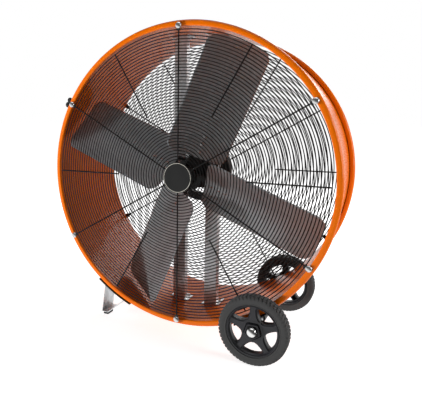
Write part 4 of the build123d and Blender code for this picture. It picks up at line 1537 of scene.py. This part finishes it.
# ---------------------------------------------------------------- studio
@dataclass(frozen=True)
class Lamp:
    """A square soft lamp, with its size in metres and its power in watts."""

    name: str
    place: tuple[float, float, float]
    size: float
    power: float
    mirrored: bool

    def build(self, target: Vector) -> None:
        """Adds the lamp, which shows in glossy surfaces only where it is mirrored.

        Args:
            target: The point that it faces.
        """
        data = bpy.data.lights.new(self.name, "AREA")
        data.size = self.size
        data.energy = self.power
        lamp = in_scene(self.name, data)
        lamp.visible_glossy = self.mirrored
        turn = (target - Vector(self.place)).to_track_quat("-Z", "Y").to_matrix().to_4x4()
        lamp.matrix_world = Matrix.Translation(self.place) @ turn


LAMPS = (
    Lamp("low", (-3.2, -2.1, 0.12), 0.4, 185.0, mirrored=False),
    Lamp("side", (3.2, -0.1, 1.2), 1.6, 64.0, mirrored=True),
    Lamp("back", (0.2, 3.0, 2.2), 2.0, 52.0, mirrored=True),
)


@dataclass
class Studio:
    """A pale floor, soft lamps, a white surround and the photograph's camera."""

    places: FanPlaces
    image_width: float = 422.0
    image_height: float = 405.0
    focal_pixels: float = 474.81
    centre_x: float = 139.89
    centre_y: float = 173.04
    position: tuple[float, float, float] = (0.6068, -1.5509, 0.7311)
    yaw: float = 28.587
    pitch: float = 6.975
    roll: float = -0.141
    floor_reach: float = 30.0

    def build(self) -> None:
        """Sets up everything that isn't part of the fan."""
        self.build_camera()
        self.build_floor()
        self.build_world()
        for lamp in LAMPS:
            lamp.build(Vector((0, 0, self.places.axis_z)))

    def build_camera(self) -> None:
        """Places the camera by its turn about Z, its tilt and its roll, and shifts its lens."""
        yaw, pitch, roll = radians(self.yaw), radians(self.pitch), radians(self.roll)
        ahead = Vector((-sin(yaw) * cos(pitch), cos(yaw) * cos(pitch), -sin(pitch)))
        right = Vector((cos(yaw), sin(yaw), 0))
        up = right.cross(ahead)
        level = right * cos(roll) + up * sin(roll)
        top = up * cos(roll) - right * sin(roll)
        data = bpy.data.cameras.new("camera")
        data.sensor_fit = "HORIZONTAL"
        data.lens = self.focal_pixels / self.image_width * data.sensor_width
        data.shift_x = (self.image_width / 2 - self.centre_x) / self.image_width
        data.shift_y = -(self.image_height / 2 - self.centre_y) / self.image_width
        camera = in_scene("camera", data)
        turn = Matrix((level, top, -ahead)).transposed().to_4x4()
        camera.matrix_world = Matrix.Translation(self.position) @ turn
        bpy.context.scene.camera = camera

    def build_floor(self) -> None:
        """A wide pale floor that keeps the shadows.

        For camera rays it also glows, from 0.8 near the fan to 1 far away, so it ends in white. For
        diffuse rays it glows at 0.5, as light thrown back up under the fan.
        """
        ends = (-self.floor_reach, self.floor_reach)
        corners = np.array([[[x, y, 0] for x in ends] for y in ends])
        mesh = make_mesh("floor", grid(corners), 30)
        floor = in_scene("floor", mesh)
        material = bpy.data.materials.new("floor_white")
        material.use_nodes = True
        wires = Wiring(material.node_tree)
        paths = wires.node("ShaderNodeLightPath")
        away = wires.node("ShaderNodeVectorMath", {0: wires.place()}, operation="LENGTH")["Value"]
        seen = wires.math("MULTIPLY", paths["Is Camera Ray"], wires.ramp(away, 0.7, 1.6, 0.80, 1.0))
        wires.feed(material.node_tree.nodes["Principled BSDF"], {
            "Base Color": (0.86, 0.86, 0.86, 1),
            "Roughness": 0.8,
            "Specular IOR Level": 0.0,
            "Emission Strength": wires.math("MULTIPLY_ADD", paths["Is Diffuse Ray"], 0.5, seen),
            "Emission Color": (1, 1, 1, 1),
        })
        mesh.materials.append(material)
        floor.visible_glossy = False

    def build_world(self) -> None:
        """White for camera rays, and uneven for light, as in a studio with one bright side.

        For gloss it is bright behind, overhead and low on the left, and dark in front: the largest
        of three ramps, over Y, over Z and over -0.5 X - 0.85 Z. For diffuse light it grows with
        -0.8 X - 0.5 Z, so it comes from the left and from below.
        """
        world = bpy.data.worlds.new("surround")
        world.use_nodes = True
        bpy.context.scene.world = world
        world.node_tree.nodes.clear()
        wires = Wiring(world.node_tree)
        way = wires.node("ShaderNodeTexCoord")["Generated"]
        parts = wires.node("ShaderNodeSeparateXYZ", {"Vector": way})
        x, z = parts["X"], parts["Z"]
        lean = wires.math("MULTIPLY_ADD", z, -0.5, wires.math("MULTIPLY", x, -0.8))
        lower = wires.math("MULTIPLY_ADD", z, -0.85, wires.math("MULTIPLY", x, -0.5))
        behind = wires.ramp(parts["Y"], 0.1, 0.6, 0.09, 0.9)
        above = wires.ramp(z, 0.72, 0.95, 0.0, 2.0)
        left = wires.ramp(lower, 0.10, 0.45, 0.0, 1.1)
        soft = wires.ramp(lean, 0.0, 0.7, 0.04, 0.62)
        level = wires.math("MAXIMUM", wires.math("MAXIMUM", behind, left), above)
        paths = wires.node("ShaderNodeLightPath")
        gloss = wires.mix(paths["Is Glossy Ray"], soft, level, "FLOAT")
        strength = wires.mix(paths["Is Camera Ray"], gloss, 1.0, "FLOAT")
        glow = wires.node("ShaderNodeBackground", {"Strength": strength, "Color": (1, 1, 1, 1)})
        wires.node("ShaderNodeOutputWorld", {"Surface": glow["Background"]})


def main() -> None:
    """Builds the fan's sub-assemblies in order, then the studio."""
    logging.basicConfig(level=logging.INFO, format="%(name)s %(message)s")
    bpy.context.scene.view_settings.view_transform = "Standard"
    places = FanPlaces.from_frame()
    assemblies = [
        Drum(places),
        Grille(places, "front", -1.0),
        Grille(places, "rear", 1.0),
        BladeFan(places),
        BeltDrive(places),
        Motor(places),
        Structure(places),
        Undercarriage(),
        Handle(places),
        SwitchBox(places),
        Studio(places),
    ]
    for assembly in assemblies:
        LOG.info("building %s", type(assembly).__name__)
        assembly.build()


if __name__ == "__main__":
    main()
